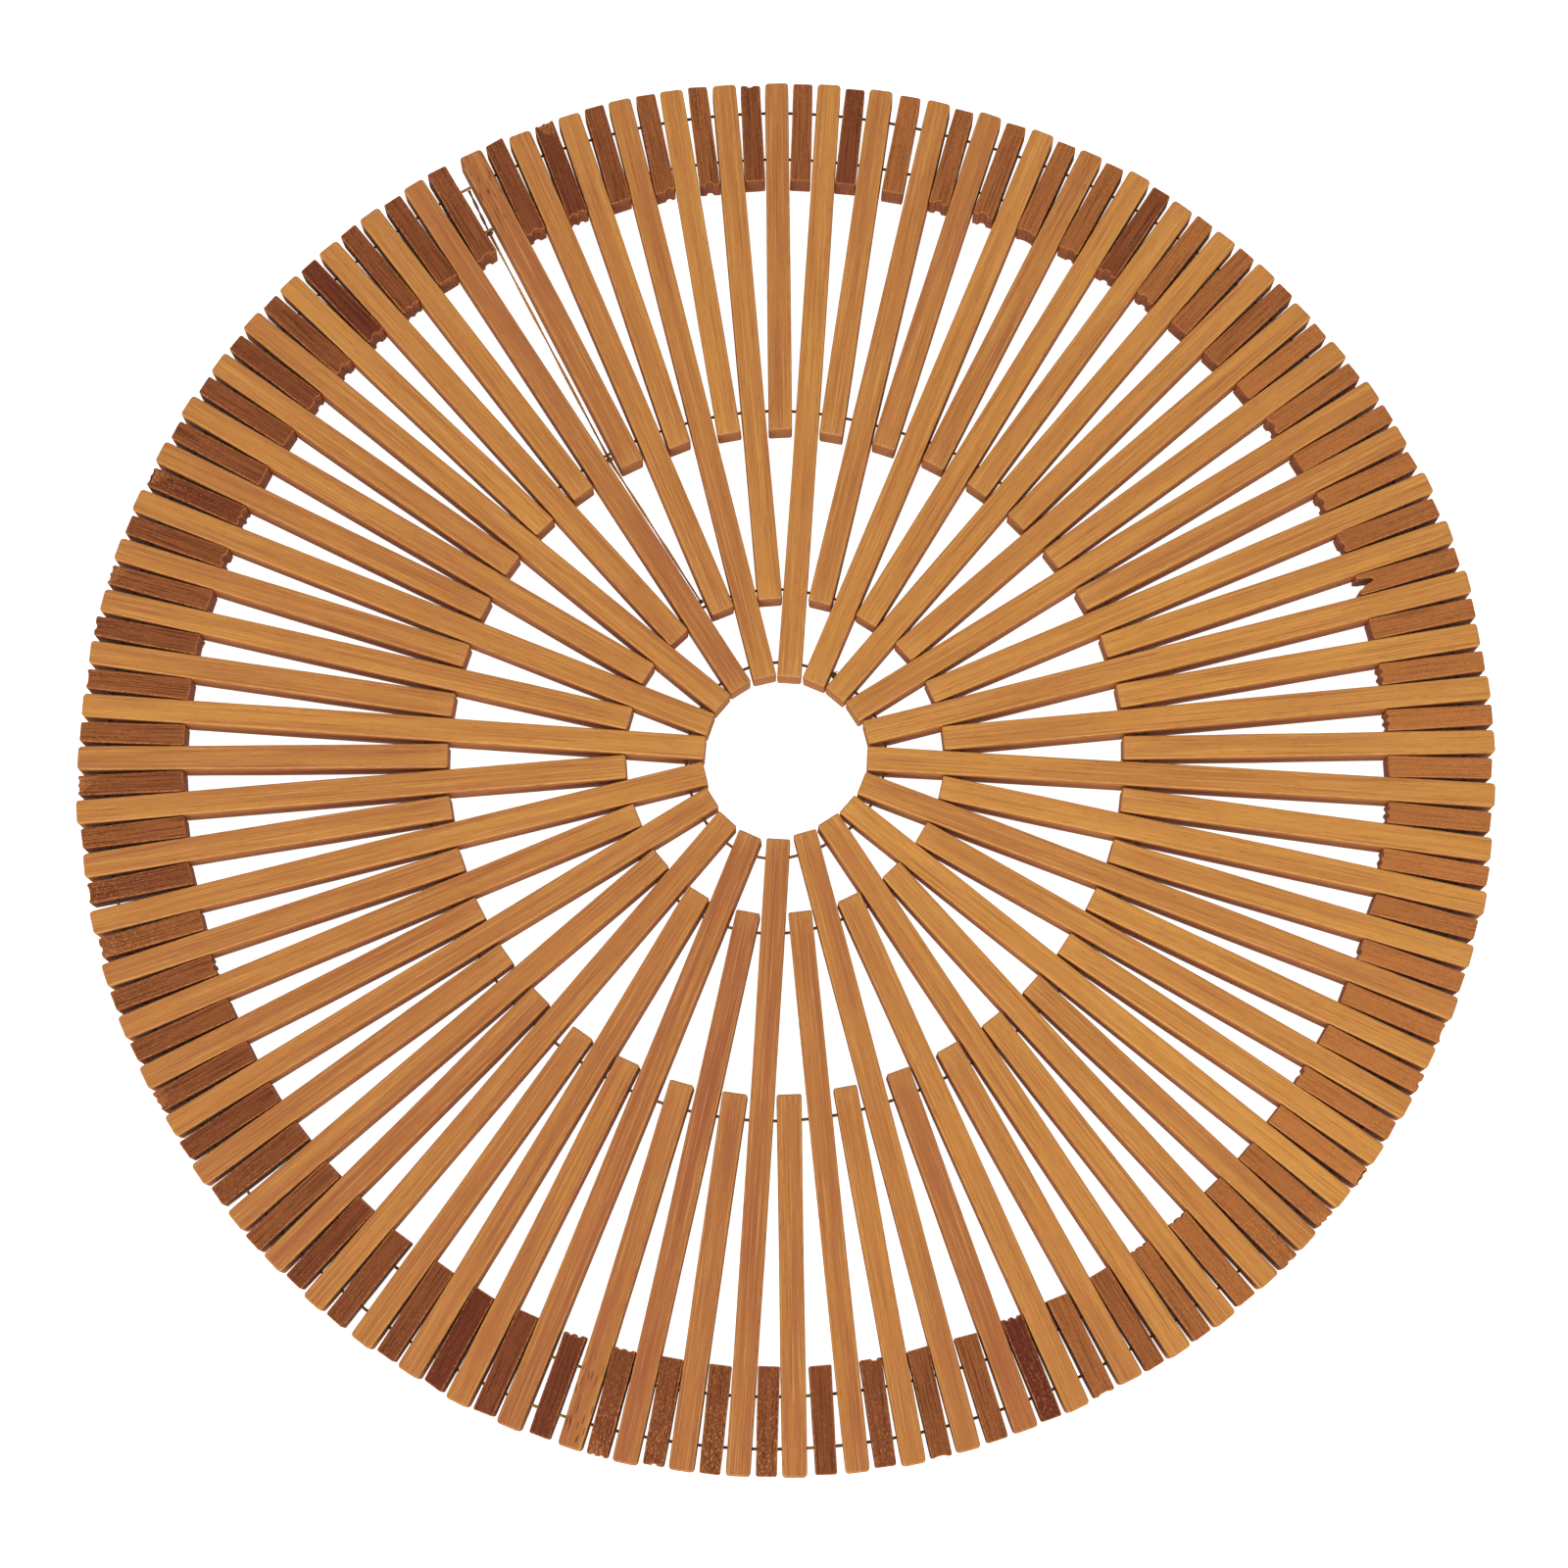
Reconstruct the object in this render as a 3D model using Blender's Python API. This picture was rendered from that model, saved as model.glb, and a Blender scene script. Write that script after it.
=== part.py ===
"""Round placemat of bamboo sticks, strung like the spokes of a wheel on five rings of thread.

Every second stick is a short one of darker bamboo at the rim. The long ones between them reach
inwards by three different lengths, so that the sticks stay close together towards the hub.
Sizes are in metres, with +Z up and the origin at the mat's centre, on the surface it lies on.
"""
import math
import random
from dataclasses import dataclass

import bmesh
import bpy
from mathutils import Matrix, Vector

MM = 0.001
GAP = 0.3 * MM

# The whole mat
OUTER_RADIUS = 189.6 * MM
STICK_HEIGHT = 9.5 * MM
LONG_STICKS = 80
FIRST_ANGLE = 1.0

# The sticks, each drawn a little uneven as split and planed bamboo is
LONG_WIDTH = 6.45 * MM
SHORT_WIDTH = 5.6 * MM
SHORT_RECESS = 0.6 * MM
WIDTH_SPREAD = 0.08 * MM
END_SPREAD = 0.45 * MM
EDGE_CHAMFER = 0.8 * MM
CORNER_CHAMFER = 1.3 * MM
INNER_CHAMFER = 0.5 * MM
SEED = 41

# Radius of each kind of stick's inner end
INNER_END = {
    "full": 21.7 * MM,
    "deep": 42.0 * MM,
    "half": 90.1 * MM,
    "short": 160.7 * MM,
}

# Nearer than this to the centre, an inner end would touch the full stick beside it
CLOSEST = {"full": 20.8 * MM, "deep": 42.3 * MM, "half": 80.0 * MM}

# The mat as it lies isn't quite round: by direction in degrees, how far the sticks and the
# threads in them stand out from the circles (or in, below zero)
STANDS_OUT = (
    (0, 0.5 * MM),
    (15, 0.8 * MM),
    (28, 0.1 * MM),
    (42, -1.1 * MM),
    (60, -0.7 * MM),
    (74, -1.8 * MM),
    (90, -0.9 * MM),
    (120, -0.4 * MM),
    (165, -0.9 * MM),
    (185, -0.4 * MM),
    (205, 0.2 * MM),
    (225, 1.1 * MM),
    (250, 1.9 * MM),
    (268, 1.2 * MM),
    (285, 0.1 * MM),
    (300, -0.5 * MM),
    (330, 0.0 * MM),
    (347, 0.8 * MM),
    (360, 0.5 * MM),
)

# The long sticks of one fan by rising angle. A short stick follows each of them
FAN_ORDER = ("half", "deep", "half", "full")

# The rings of thread that run through the sticks at half their height
RING_RADIUS = {
    "rim": 182.0 * MM,
    "shoulder": 168.6 * MM,
    "middle": 96.8 * MM,
    "inner": 47.0 * MM,
    "hub": 27.0 * MM,
}
THREAD = 0.8 * MM
THREAD_HEIGHT = STICK_HEIGHT / 2
SHORTEST_STUB = 0.3 * MM

# Places where the sticks stand wider apart: after which long stick, by how many degrees,
# and whether the short stick there leans on the one before it (-1), on the next (1) or on none
WIDE_PLACES = (
    {"after": 15, "degrees": 0.25, "leans": 0},
    {"after": 17, "degrees": 0.55, "leans": 0},
    {"after": 26, "degrees": 0.98, "leans": 1},
    {"after": 42, "degrees": 0.26, "leans": -1},
    {"after": 48, "degrees": 0.30, "leans": -1},
    {"after": 51, "degrees": 0.45, "leans": -1},
    {"after": 55, "degrees": 0.60, "leans": 0},
    {"after": 60, "degrees": 0.50, "leans": 0},
    {"after": 63, "degrees": 0.32, "leans": 0},
    {"after": 65, "degrees": 0.33, "leans": 0},
    {"after": 68, "degrees": 0.18, "leans": 0},
)

# The tie: one thread taken down from ring to ring in the widest gap, just under the rings
TIE_AFTER = 26
TIE_HEIGHT = 3.55 * MM
TIE_THREAD = 0.7 * MM
TIE_ROUTE = (
    {"radius": 180.9 * MM, "across": 0.30, "knot": 0.0},
    {"radius": 167.2 * MM, "across": 0.50, "knot": 0.85 * MM},
    {"radius": 95.6 * MM, "across": 0.50, "knot": 0.80 * MM},
    {"radius": 48.8 * MM, "across": 0.50, "knot": 0.65 * MM},
)

# The knot that closes the hub ring, on the thread beside one full stick
HUB_KNOT_AFTER = 11
HUB_KNOT = 0.6 * MM

SURFACES = {
    "long_bamboo": {"colour": (0.52, 0.24, 0.07), "roughness": 0.42},
    "short_bamboo": {"colour": (0.25, 0.09, 0.04), "roughness": 0.55},
    "thread": {"colour": (0.16, 0.07, 0.03), "roughness": 0.75},
}
SURFACE_NAMES = tuple(SURFACES)


@dataclass(frozen=True)
class Stick:
    """One stick: its kind, its angle in degrees, the radii of its ends and its width."""

    kind: str
    angle: float
    inner: float
    outer: float
    width: float


def clear_scene():
    """Remove every object that the scene opens with."""
    for thing in list(bpy.data.objects):
        bpy.data.objects.remove(thing, do_unlink=True)


def new_collection(name):
    """Add a collection to the scene."""
    collection = bpy.data.collections.new(name)
    bpy.context.scene.collection.children.link(collection)
    return collection


def make_materials():
    """Return one plain material for each surface, in the order of SURFACE_NAMES."""
    materials = []
    for name in SURFACE_NAMES:
        material = bpy.data.materials.new(name)
        material.use_nodes = True
        shader = material.node_tree.nodes["Principled BSDF"]
        shader.inputs["Base Color"].default_value = (*SURFACES[name]["colour"], 1.0)
        shader.inputs["Roughness"].default_value = SURFACES[name]["roughness"]
        shader.inputs["Metallic"].default_value = 0.0
        materials.append(material)
    return materials


def long_angle(number):
    """Angle of a long stick. The wide places take their share of the circle first."""
    extra = sum(place["degrees"] for place in WIDE_PLACES)
    pitch = (360.0 - extra) / LONG_STICKS
    turns, index = divmod(number, LONG_STICKS)
    passed = sum(place["degrees"] for place in WIDE_PLACES if index > place["after"])
    return 360.0 * turns + FIRST_ANGLE + index * pitch + passed


def uneven(number, kind, amount):
    """Return a small fixed offset for one stick, between -amount and amount."""
    draw = random.Random(f"{SEED} {number % LONG_STICKS} {kind}")
    return draw.uniform(-amount, amount)


def stands_out(angle):
    """Return how far the sticks and threads stand out in a direction, between table rows."""
    angle = angle % 360.0
    for (start, low), (end, high) in zip(STANDS_OUT, STANDS_OUT[1:]):
        if angle <= end:
            return low + (high - low) * (angle - start) / (end - start)
    return STANDS_OUT[-1][1]


def long_stick(number):
    """Work out one long stick from its place in the ring."""
    kind = FAN_ORDER[number % len(FAN_ORDER)]
    angle = long_angle(number)
    out = stands_out(angle)
    inner = INNER_END[kind] + out + abs(uneven(number, "inner", END_SPREAD)) / 2
    return Stick(
        kind=kind,
        angle=angle,
        inner=max(inner, CLOSEST[kind]),
        outer=OUTER_RADIUS + out - END_SPREAD / 2 + uneven(number, "outer", END_SPREAD),
        width=LONG_WIDTH + uneven(number, "width", WIDTH_SPREAD),
    )


def short_stick(number):
    """Work out the short stick that stands between a long stick and the next one."""
    before = long_stick(number)
    after = long_stick(number + 1)
    out = stands_out((before.angle + after.angle) / 2)
    inner = INNER_END["short"] + out + abs(uneven(number, "short inner", END_SPREAD))
    half = math.radians(after.angle - before.angle) / 2
    room = 2 * inner * math.tan(half) - (before.width + after.width) / 2 / math.cos(half)
    wish = SHORT_WIDTH + uneven(number, "short width", WIDTH_SPREAD)
    width = min(wish, room - 2 * GAP)
    leans = {place["after"]: place["leans"] for place in WIDE_PLACES}.get(number % LONG_STICKS, 0)
    if leans < 0:
        beside = math.degrees(((before.width + width) / 2 + GAP) / inner)
        angle = before.angle + beside
    elif leans > 0:
        beside = math.degrees(((after.width + width) / 2 + GAP) / inner)
        angle = after.angle - beside
    else:
        angle = (before.angle + after.angle) / 2
    outer = OUTER_RADIUS + out - SHORT_RECESS + uneven(number, "short outer", END_SPREAD)
    return Stick(kind="short", angle=angle, inner=inner, outer=outer, width=width)


def fan_sticks(fan):
    """Return the eight sticks of one fan by rising angle."""
    first = fan * len(FAN_ORDER)
    sticks = []
    for number in range(first, first + len(FAN_ORDER)):
        sticks.append(long_stick(number))
        sticks.append(short_stick(number))
    return sticks


def spot(radius, angle, height):
    """Return the point at a radius, an angle in degrees and a height."""
    turn = math.radians(angle)
    return Vector((radius * math.cos(turn), radius * math.sin(turn), height))


def add_stick(shape, stick, turned_back):
    """Add one stick to a bmesh: a bar with its top edges and its outer corners taken off."""
    length = stick.outer - stick.inner
    middle = (stick.outer + stick.inner) / 2
    bar = bmesh.new()
    bmesh.ops.create_cube(bar, size=1.0)
    bmesh.ops.scale(bar, vec=(length, stick.width, STICK_HEIGHT), verts=bar.verts)
    bmesh.ops.translate(bar, vec=(middle, 0, STICK_HEIGHT / 2), verts=bar.verts)

    def along(edge, axis):
        line = edge.verts[1].co - edge.verts[0].co
        return abs(line.normalized()[axis]) > 0.99

    corners = [e for e in bar.edges if along(e, 2) and e.verts[0].co.x > middle]
    bmesh.ops.bevel(bar, geom=corners, offset=CORNER_CHAMFER, segments=1, affect="EDGES")
    if stick.kind != "short":
        corners = [e for e in bar.edges if along(e, 2) and e.verts[0].co.x < middle]
        bmesh.ops.bevel(bar, geom=corners, offset=INNER_CHAMFER, segments=1, affect="EDGES")
    top = [
        e for e in bar.edges
        if along(e, 0) and min(v.co.z for v in e.verts) > STICK_HEIGHT / 2
    ]
    bmesh.ops.bevel(bar, geom=top, offset=EDGE_CHAMFER, segments=1, affect="EDGES")
    turn = Matrix.Rotation(math.radians(stick.angle - turned_back), 4, "Z")
    bmesh.ops.transform(bar, matrix=turn, verts=bar.verts)
    surface = SURFACE_NAMES.index("short_bamboo" if stick.kind == "short" else "long_bamboo")
    for face in bar.faces:
        face.material_index = surface
    piece = bpy.data.meshes.new("stick")
    bar.to_mesh(piece)
    bar.free()
    shape.from_mesh(piece)
    bpy.data.meshes.remove(piece)


def thread_spot(ring, stick, turned_back):
    """Return the point where a ring's thread crosses the axis of a stick."""
    radius = RING_RADIUS[ring] + stands_out(stick.angle)
    return spot(radius, stick.angle - turned_back, THREAD_HEIGHT)


def reaches(stick, ring):
    """Say whether a stick reaches in as far as a ring of thread."""
    return stick.inner < RING_RADIUS[ring] + stands_out(stick.angle)


def thread_points(ring, fan, turned_back):
    """Return the points of one ring's thread through a fan, at the axis of each stick it crosses.

    The last point is in the gap before the next fan, clear of that fan's first stick.
    """
    crossed = [stick for stick in fan_sticks(fan) if reaches(stick, ring)]
    following = next(stick for stick in fan_sticks(fan + 1) if reaches(stick, ring))
    points = [thread_spot(ring, stick, turned_back) for stick in crossed]
    last = points[-1]
    step = thread_spot(ring, following, turned_back) - last
    slant = math.cos(math.radians(following.angle - crossed[-1].angle) / 2)
    reach = step.length - following.width / 2 / slant - GAP - THREAD / 4
    stub = reach - crossed[-1].width / 2
    if stub > SHORTEST_STUB:
        points.append(last + step.normalized() * reach)
    if len(points) == 1:
        raise ValueError(f"ring {ring} has no thread in fan {fan}")
    return points


def tube_mesh(name, runs, thickness, resolution):
    """Return a closed mesh of round tubes, one for each run of points."""
    curve = bpy.data.curves.new(name, "CURVE")
    curve.dimensions = "3D"
    curve.bevel_depth = thickness / 2
    curve.bevel_resolution = resolution
    curve.use_fill_caps = True
    for run in runs:
        spline = curve.splines.new("POLY")
        spline.points.add(len(run) - 1)
        for point, place in zip(spline.points, run):
            point.co = (*place, 1.0)
    guide = bpy.data.objects.new(name, curve)
    bpy.context.scene.collection.objects.link(guide)
    seen = guide.evaluated_get(bpy.context.evaluated_depsgraph_get())
    mesh = bpy.data.meshes.new_from_object(seen)
    bpy.data.objects.remove(guide, do_unlink=True)
    welded = bmesh.new()
    welded.from_mesh(mesh)
    bmesh.ops.remove_doubles(welded, verts=welded.verts, dist=0.001 * MM)
    bmesh.ops.recalc_face_normals(welded, faces=welded.faces)
    welded.to_mesh(mesh)
    welded.free()
    return mesh


def knot_mesh(name, place, radius):
    """Return a small faceted ball, wider than it is high, for a knot in the thread."""
    ball = bmesh.new()
    bmesh.ops.create_icosphere(ball, subdivisions=1, radius=radius)
    bmesh.ops.scale(ball, vec=(1.0, 1.0, 0.9), verts=ball.verts)
    bmesh.ops.translate(ball, vec=place, verts=ball.verts)
    mesh = bpy.data.meshes.new(name)
    ball.to_mesh(mesh)
    ball.free()
    return mesh


def dress(mesh, materials, surface):
    """Give a mesh all the materials and paint its faces with one of them."""
    for material in materials:
        mesh.materials.append(material)
    if surface is not None:
        for face in mesh.polygons:
            face.material_index = SURFACE_NAMES.index(surface)


def joined_to(target, mesh, guides, matrix):
    """Union a mesh into an object. The mesh stays as a hidden guide object."""
    guide = bpy.data.objects.new(f"{mesh.name}_guide", mesh)
    guide.matrix_world = matrix
    guide.hide_render = True
    guide.display_type = "WIRE"
    guides.objects.link(guide)
    union = target.modifiers.new(mesh.name, "BOOLEAN")
    union.operation = "UNION"
    union.solver = "EXACT"
    union.object = guide


def make_fan(fan, parts, guides, materials):
    """Make one fan: eight sticks and the lengths of thread that hold them."""
    turned = long_angle(fan * len(FAN_ORDER))
    placed = Matrix.Rotation(math.radians(turned), 4, "Z")
    shape = bmesh.new()
    for stick in fan_sticks(fan):
        add_stick(shape, stick, turned)
    mesh = bpy.data.meshes.new(f"fan_{fan + 1:02d}")
    shape.to_mesh(mesh)
    shape.free()
    dress(mesh, materials, None)
    thing = bpy.data.objects.new(mesh.name, mesh)
    thing.matrix_world = placed
    parts.objects.link(thing)

    runs = [thread_points(ring, fan, turned) for ring in RING_RADIUS]
    threads = tube_mesh(f"threads_{fan + 1:02d}", runs, THREAD, 0)
    threads.materials.clear()
    dress(threads, materials, "thread")
    joined_to(thing, threads, guides, placed)

    if HUB_KNOT_AFTER // len(FAN_ORDER) == fan:
        hub = thread_points("hub", fan, turned)
        place = hub[-1] - (hub[-1] - hub[0]).normalized() * HUB_KNOT
        knot = knot_mesh("hub_knot", place, HUB_KNOT)
        dress(knot, materials, "thread")
        joined_to(thing, knot, guides, placed)


def gap_spot(radius, across):
    """Return a point in the tie's gap at the tie's height, a share of the way across it."""
    radius = radius + stands_out(long_angle(TIE_AFTER))
    before = [long_stick(number) for number in (TIE_AFTER - 1, TIE_AFTER)]
    after = [short_stick(TIE_AFTER), long_stick(TIE_AFTER + 1)]
    low = max(
        stick.angle + math.degrees(math.asin(stick.width / 2 / radius))
        for stick in before if stick.inner < radius
    )
    high = min(
        stick.angle - math.degrees(math.asin(stick.width / 2 / radius))
        for stick in after if stick.inner < radius
    )
    return spot(radius, low + across * (high - low), TIE_HEIGHT)


def make_tie(parts, guides, materials):
    """Make the tie thread, with a knot beside each ring that it is tied to."""
    points = [gap_spot(place["radius"], place["across"]) for place in TIE_ROUTE]
    mesh = tube_mesh("tie_thread", [points], TIE_THREAD, 1)
    mesh.materials.clear()
    dress(mesh, materials, "thread")
    thing = bpy.data.objects.new("tie_thread", mesh)
    parts.objects.link(thing)
    for number, (place, point) in enumerate(zip(TIE_ROUTE, points)):
        if place["knot"]:
            knot = knot_mesh(f"tie_knot_{number}", point, place["knot"])
            dress(knot, materials, "thread")
            joined_to(thing, knot, guides, Matrix.Identity(4))


def main():
    """Build the mat."""
    clear_scene()
    parts = new_collection("bamboo_placemat")
    guides = new_collection("guides")
    materials = make_materials()
    for fan in range(LONG_STICKS // len(FAN_ORDER)):
        make_fan(fan, parts, guides, materials)
    make_tie(parts, guides, materials)


main()
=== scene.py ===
"""Looks of the round bamboo placemat: its sticks, its rings of thread, the tie and the studio.

The mat lies flat with its centre at the origin. All sizes are in metres. Angles of sticks are in
degrees, counted from +X against the clock as seen from above.
"""
import logging
import math
import random
from collections.abc import Callable
from dataclasses import dataclass, field
from enum import Enum

import bmesh
import bpy
import numpy as np
from mathutils import Matrix, Vector


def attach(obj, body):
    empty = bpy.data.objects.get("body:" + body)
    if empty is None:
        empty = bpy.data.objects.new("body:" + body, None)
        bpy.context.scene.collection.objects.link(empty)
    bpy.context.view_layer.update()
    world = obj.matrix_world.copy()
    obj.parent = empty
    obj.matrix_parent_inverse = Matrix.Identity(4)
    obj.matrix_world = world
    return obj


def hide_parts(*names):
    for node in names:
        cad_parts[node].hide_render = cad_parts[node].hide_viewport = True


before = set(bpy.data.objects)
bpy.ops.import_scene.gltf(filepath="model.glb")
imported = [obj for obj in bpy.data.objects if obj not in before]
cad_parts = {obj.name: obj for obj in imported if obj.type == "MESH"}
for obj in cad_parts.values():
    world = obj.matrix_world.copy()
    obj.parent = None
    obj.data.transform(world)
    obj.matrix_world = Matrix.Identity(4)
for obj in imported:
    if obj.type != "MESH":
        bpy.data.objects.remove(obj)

MM = 0.001
BODY = "root"
LOG = logging.getLogger("bamboo_placemat")


class StickKind(Enum):
    """The four cuts of stick, by how far they reach inwards."""

    FULL = "full"
    DEEP = "deep"
    HALF = "half"
    SHORT = "short"


class EndCut(Enum):
    """How an end of a short stick was sawn.

    Each groove has its place across, half its width and its depth, in millimetres.
    """

    FLAT = ()
    GROOVE = ((0.1, 1.0, 0.8),)
    SIDE = ((-0.9, 0.85, 0.6),)
    TWIN = ((-1.2, 0.7, 0.5), (0.9, 0.75, 0.6))
    RAGGED = ((-1.15, 0.8, 0.35), (1.1, 0.85, 0.4))
    ARCH = ((0.0, 2.0, 0.4),)
    NICK = ((0.2, 0.9, 0.5),)
    SPLIT = ((0.2, 1.6, 2.0), (0.5, 1.0, 4.6))


@dataclass(frozen=True)
class Stick:
    """One stick of the mat.

    Args:
        kind: which cut of stick it is.
        number: place in the ring of long sticks, or of the long stick before a short one.
        angle: direction from the centre, in degrees.
        inner: radius of the end near the centre.
        outer: radius of the end at the rim.
        width: width across.
    """

    kind: StickKind
    number: int
    angle: float
    inner: float
    outer: float
    width: float


@dataclass(frozen=True)
class WidePlace:
    """A place in the ring where the sticks stand wider apart.

    Args:
        after: number of the long stick before it.
        degrees: how much wider it is.
        leans: -1 or 1 where the short stick there leans on its neighbour, 0 where it doesn't.
    """

    after: int
    degrees: float
    leans: int


@dataclass(frozen=True)
class MatLayout:
    """Where every stick and thread of the mat lies.

    Args:
        outer_radius: radius of the rim before it is taken out of round.
        height: height of every stick.
        long_sticks: number of long sticks. As many short ones lie between them.
        first_angle: direction of the first long stick, in degrees.
        gap: least room between a short stick and its neighbours.
        long_width: width of a long stick.
        short_width: width of a short stick where it has room.
        short_recess: how far the short sticks stay behind the long ones at the rim.
        width_spread: how much widths differ.
        end_spread: how much the places of the ends differ.
        seed: start of the small fixed differences between sticks.
        fan_order: the cuts of long stick in one fan, by rising angle.
        inner_ends: radius of the inner end of each cut.
        closest: least radius of an inner end, where neighbours would touch.
        out_of_round: direction in degrees and how far the mat stands out there.
        rings: radius of each ring of thread.
        wide_places: where the sticks stand wider apart.
    """

    outer_radius: float = 189.6 * MM
    height: float = 9.5 * MM
    long_sticks: int = 80
    first_angle: float = 1.0
    gap: float = 0.3 * MM
    long_width: float = 6.45 * MM
    short_width: float = 5.6 * MM
    short_recess: float = 0.6 * MM
    width_spread: float = 0.08 * MM
    end_spread: float = 0.45 * MM
    seed: int = 41
    fan_order: tuple[StickKind, ...] = (
        StickKind.HALF, StickKind.DEEP, StickKind.HALF, StickKind.FULL,
    )
    inner_ends: dict[StickKind, float] = field(default_factory=lambda: {
        StickKind.FULL: 21.7 * MM,
        StickKind.DEEP: 42.0 * MM,
        StickKind.HALF: 90.1 * MM,
        StickKind.SHORT: 160.7 * MM,
    })
    closest: dict[StickKind, float] = field(default_factory=lambda: {
        StickKind.FULL: 20.8 * MM,
        StickKind.DEEP: 42.3 * MM,
        StickKind.HALF: 80.0 * MM,
    })
    out_of_round: tuple[tuple[float, float], ...] = (
        (0, 0.5 * MM), (15, 0.8 * MM), (28, 0.1 * MM), (42, -1.1 * MM), (60, -0.7 * MM),
        (74, -1.8 * MM), (90, -0.9 * MM), (120, -0.4 * MM), (165, -0.9 * MM), (185, -0.4 * MM),
        (205, 0.2 * MM), (225, 1.1 * MM), (250, 1.9 * MM), (268, 1.2 * MM), (285, 0.1 * MM),
        (300, -0.5 * MM), (330, 0.0 * MM), (347, 0.8 * MM), (360, 0.5 * MM),
    )
    rings: dict[str, float] = field(default_factory=lambda: {
        "rim": 182.0 * MM,
        "shoulder": 168.6 * MM,
        "middle": 96.8 * MM,
        "inner": 47.0 * MM,
        "hub": 27.0 * MM,
    })
    wide_places: tuple[WidePlace, ...] = (
        WidePlace(15, 0.25, 0),
        WidePlace(17, 0.55, 0),
        WidePlace(26, 0.98, 1),
        WidePlace(42, 0.26, -1),
        WidePlace(48, 0.30, -1),
        WidePlace(51, 0.45, -1),
        WidePlace(55, 0.60, 0),
        WidePlace(60, 0.50, 0),
        WidePlace(63, 0.32, 0),
        WidePlace(65, 0.33, 0),
        WidePlace(68, 0.18, 0),
    )

    @property
    def fans(self) -> int:
        """Number of fans, each one repeat of the order of sticks."""
        return self.long_sticks // len(self.fan_order)

    @property
    def thread_height(self) -> float:
        """Height of the rings of thread, half way up the sticks."""
        return self.height / 2

    def long_angle(self, number: int) -> float:
        """Work out the direction of a long stick.

        Args:
            number: the stick's place in the ring. It may run past a full turn.

        Returns:
            The angle in degrees.
        """
        extra = sum(place.degrees for place in self.wide_places)
        pitch = (360.0 - extra) / self.long_sticks
        turns, index = divmod(number, self.long_sticks)
        passed = sum(place.degrees for place in self.wide_places if index > place.after)
        return 360.0 * turns + self.first_angle + index * pitch + passed

    def uneven(self, number: int, kind: str, amount: float) -> float:
        """Return one stick's small fixed offset of a kind, between -amount and amount."""
        draw = random.Random(f"{self.seed} {number % self.long_sticks} {kind}")
        return draw.uniform(-amount, amount)

    def stands_out(self, angle: float) -> float:
        """Work out how far the mat stands out of round.

        Args:
            angle: the direction in degrees.

        Returns:
            How far sticks and threads there stand out, or in, below zero.
        """
        angle = angle % 360.0
        for (start, low), (end, high) in zip(self.out_of_round, self.out_of_round[1:]):
            if angle <= end:
                return low + (high - low) * (angle - start) / (end - start)
        return self.out_of_round[-1][1]

    def ring_radius(self, ring: str, angle: float) -> float:
        """Return the radius of a ring of thread in a direction."""
        return self.rings[ring] + self.stands_out(angle)

    def long_stick(self, number: int) -> Stick:
        """Work out one long stick.

        Args:
            number: its place in the ring.

        Returns:
            The stick.
        """
        kind = self.fan_order[number % len(self.fan_order)]
        out = self.stands_out(self.long_angle(number))
        inner = self.inner_ends[kind] + out
        inner += abs(self.uneven(number, "inner", self.end_spread)) / 2
        return Stick(
            kind=kind,
            number=number % self.long_sticks,
            angle=self.long_angle(number),
            inner=max(inner, self.closest[kind]),
            outer=self.outer_radius + out - self.end_spread / 2
            + self.uneven(number, "outer", self.end_spread),
            width=self.long_width + self.uneven(number, "width", self.width_spread),
        )

    def short_stick(self, number: int) -> Stick:
        """Work out the short stick between a long stick and the next one.

        Args:
            number: place of the long stick before it.

        Returns:
            The stick.
        """
        before = self.long_stick(number)
        after = self.long_stick(number + 1)
        start = self.long_angle(number)
        end = self.long_angle(number + 1)
        out = self.stands_out((start + end) / 2)
        inner = self.inner_ends[StickKind.SHORT] + out
        inner += abs(self.uneven(number, "short inner", self.end_spread))
        half = math.radians(end - start) / 2
        room = 2 * inner * math.tan(half) - (before.width + after.width) / 2 / math.cos(half)
        wish = self.short_width + self.uneven(number, "short width", self.width_spread)
        width = min(wish, room - 2 * self.gap)
        leans = {place.after: place.leans for place in self.wide_places}
        side = leans.get(number % self.long_sticks, 0)
        angle = (start + end) / 2
        if side < 0:
            angle = start + math.degrees(((before.width + width) / 2 + self.gap) / inner)
        elif side > 0:
            angle = end - math.degrees(((after.width + width) / 2 + self.gap) / inner)
        outer = self.outer_radius + out - self.short_recess
        outer += self.uneven(number, "short outer", self.end_spread)
        return Stick(StickKind.SHORT, number % self.long_sticks, angle, inner, outer, width)

    def all_sticks(self) -> list[Stick]:
        """Return every stick by rising angle."""
        sticks = []
        for number in range(self.long_sticks):
            sticks.append(self.long_stick(number))
            sticks.append(self.short_stick(number))
        return sticks

    def gap_angle(self, after: int, radius: float, across: float) -> float:
        """Find a direction in the gap before a short stick.

        Args:
            after: number of the long stick before the gap.
            radius: distance from the centre.
            across: share of the way from one side of the gap to the other.

        Returns:
            The angle in degrees.
        """
        radius = radius + self.stands_out(self.long_angle(after))
        before = [self.long_stick(number) for number in (after - 1, after)]
        behind = [self.short_stick(after), self.long_stick(after + 1)]
        low = max(
            stick.angle + math.degrees(math.asin(stick.width / 2 / radius))
            for stick in before if stick.inner < radius
        )
        high = min(
            stick.angle - math.degrees(math.asin(stick.width / 2 / radius))
            for stick in behind if stick.inner < radius
        )
        return low + across * (high - low)


def spot(radius: float, angle: float, height: float) -> Vector:
    """Return the point at a radius, an angle in degrees and a height."""
    turn = math.radians(angle)
    return Vector((radius * math.cos(turn), radius * math.sin(turn), height))


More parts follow.
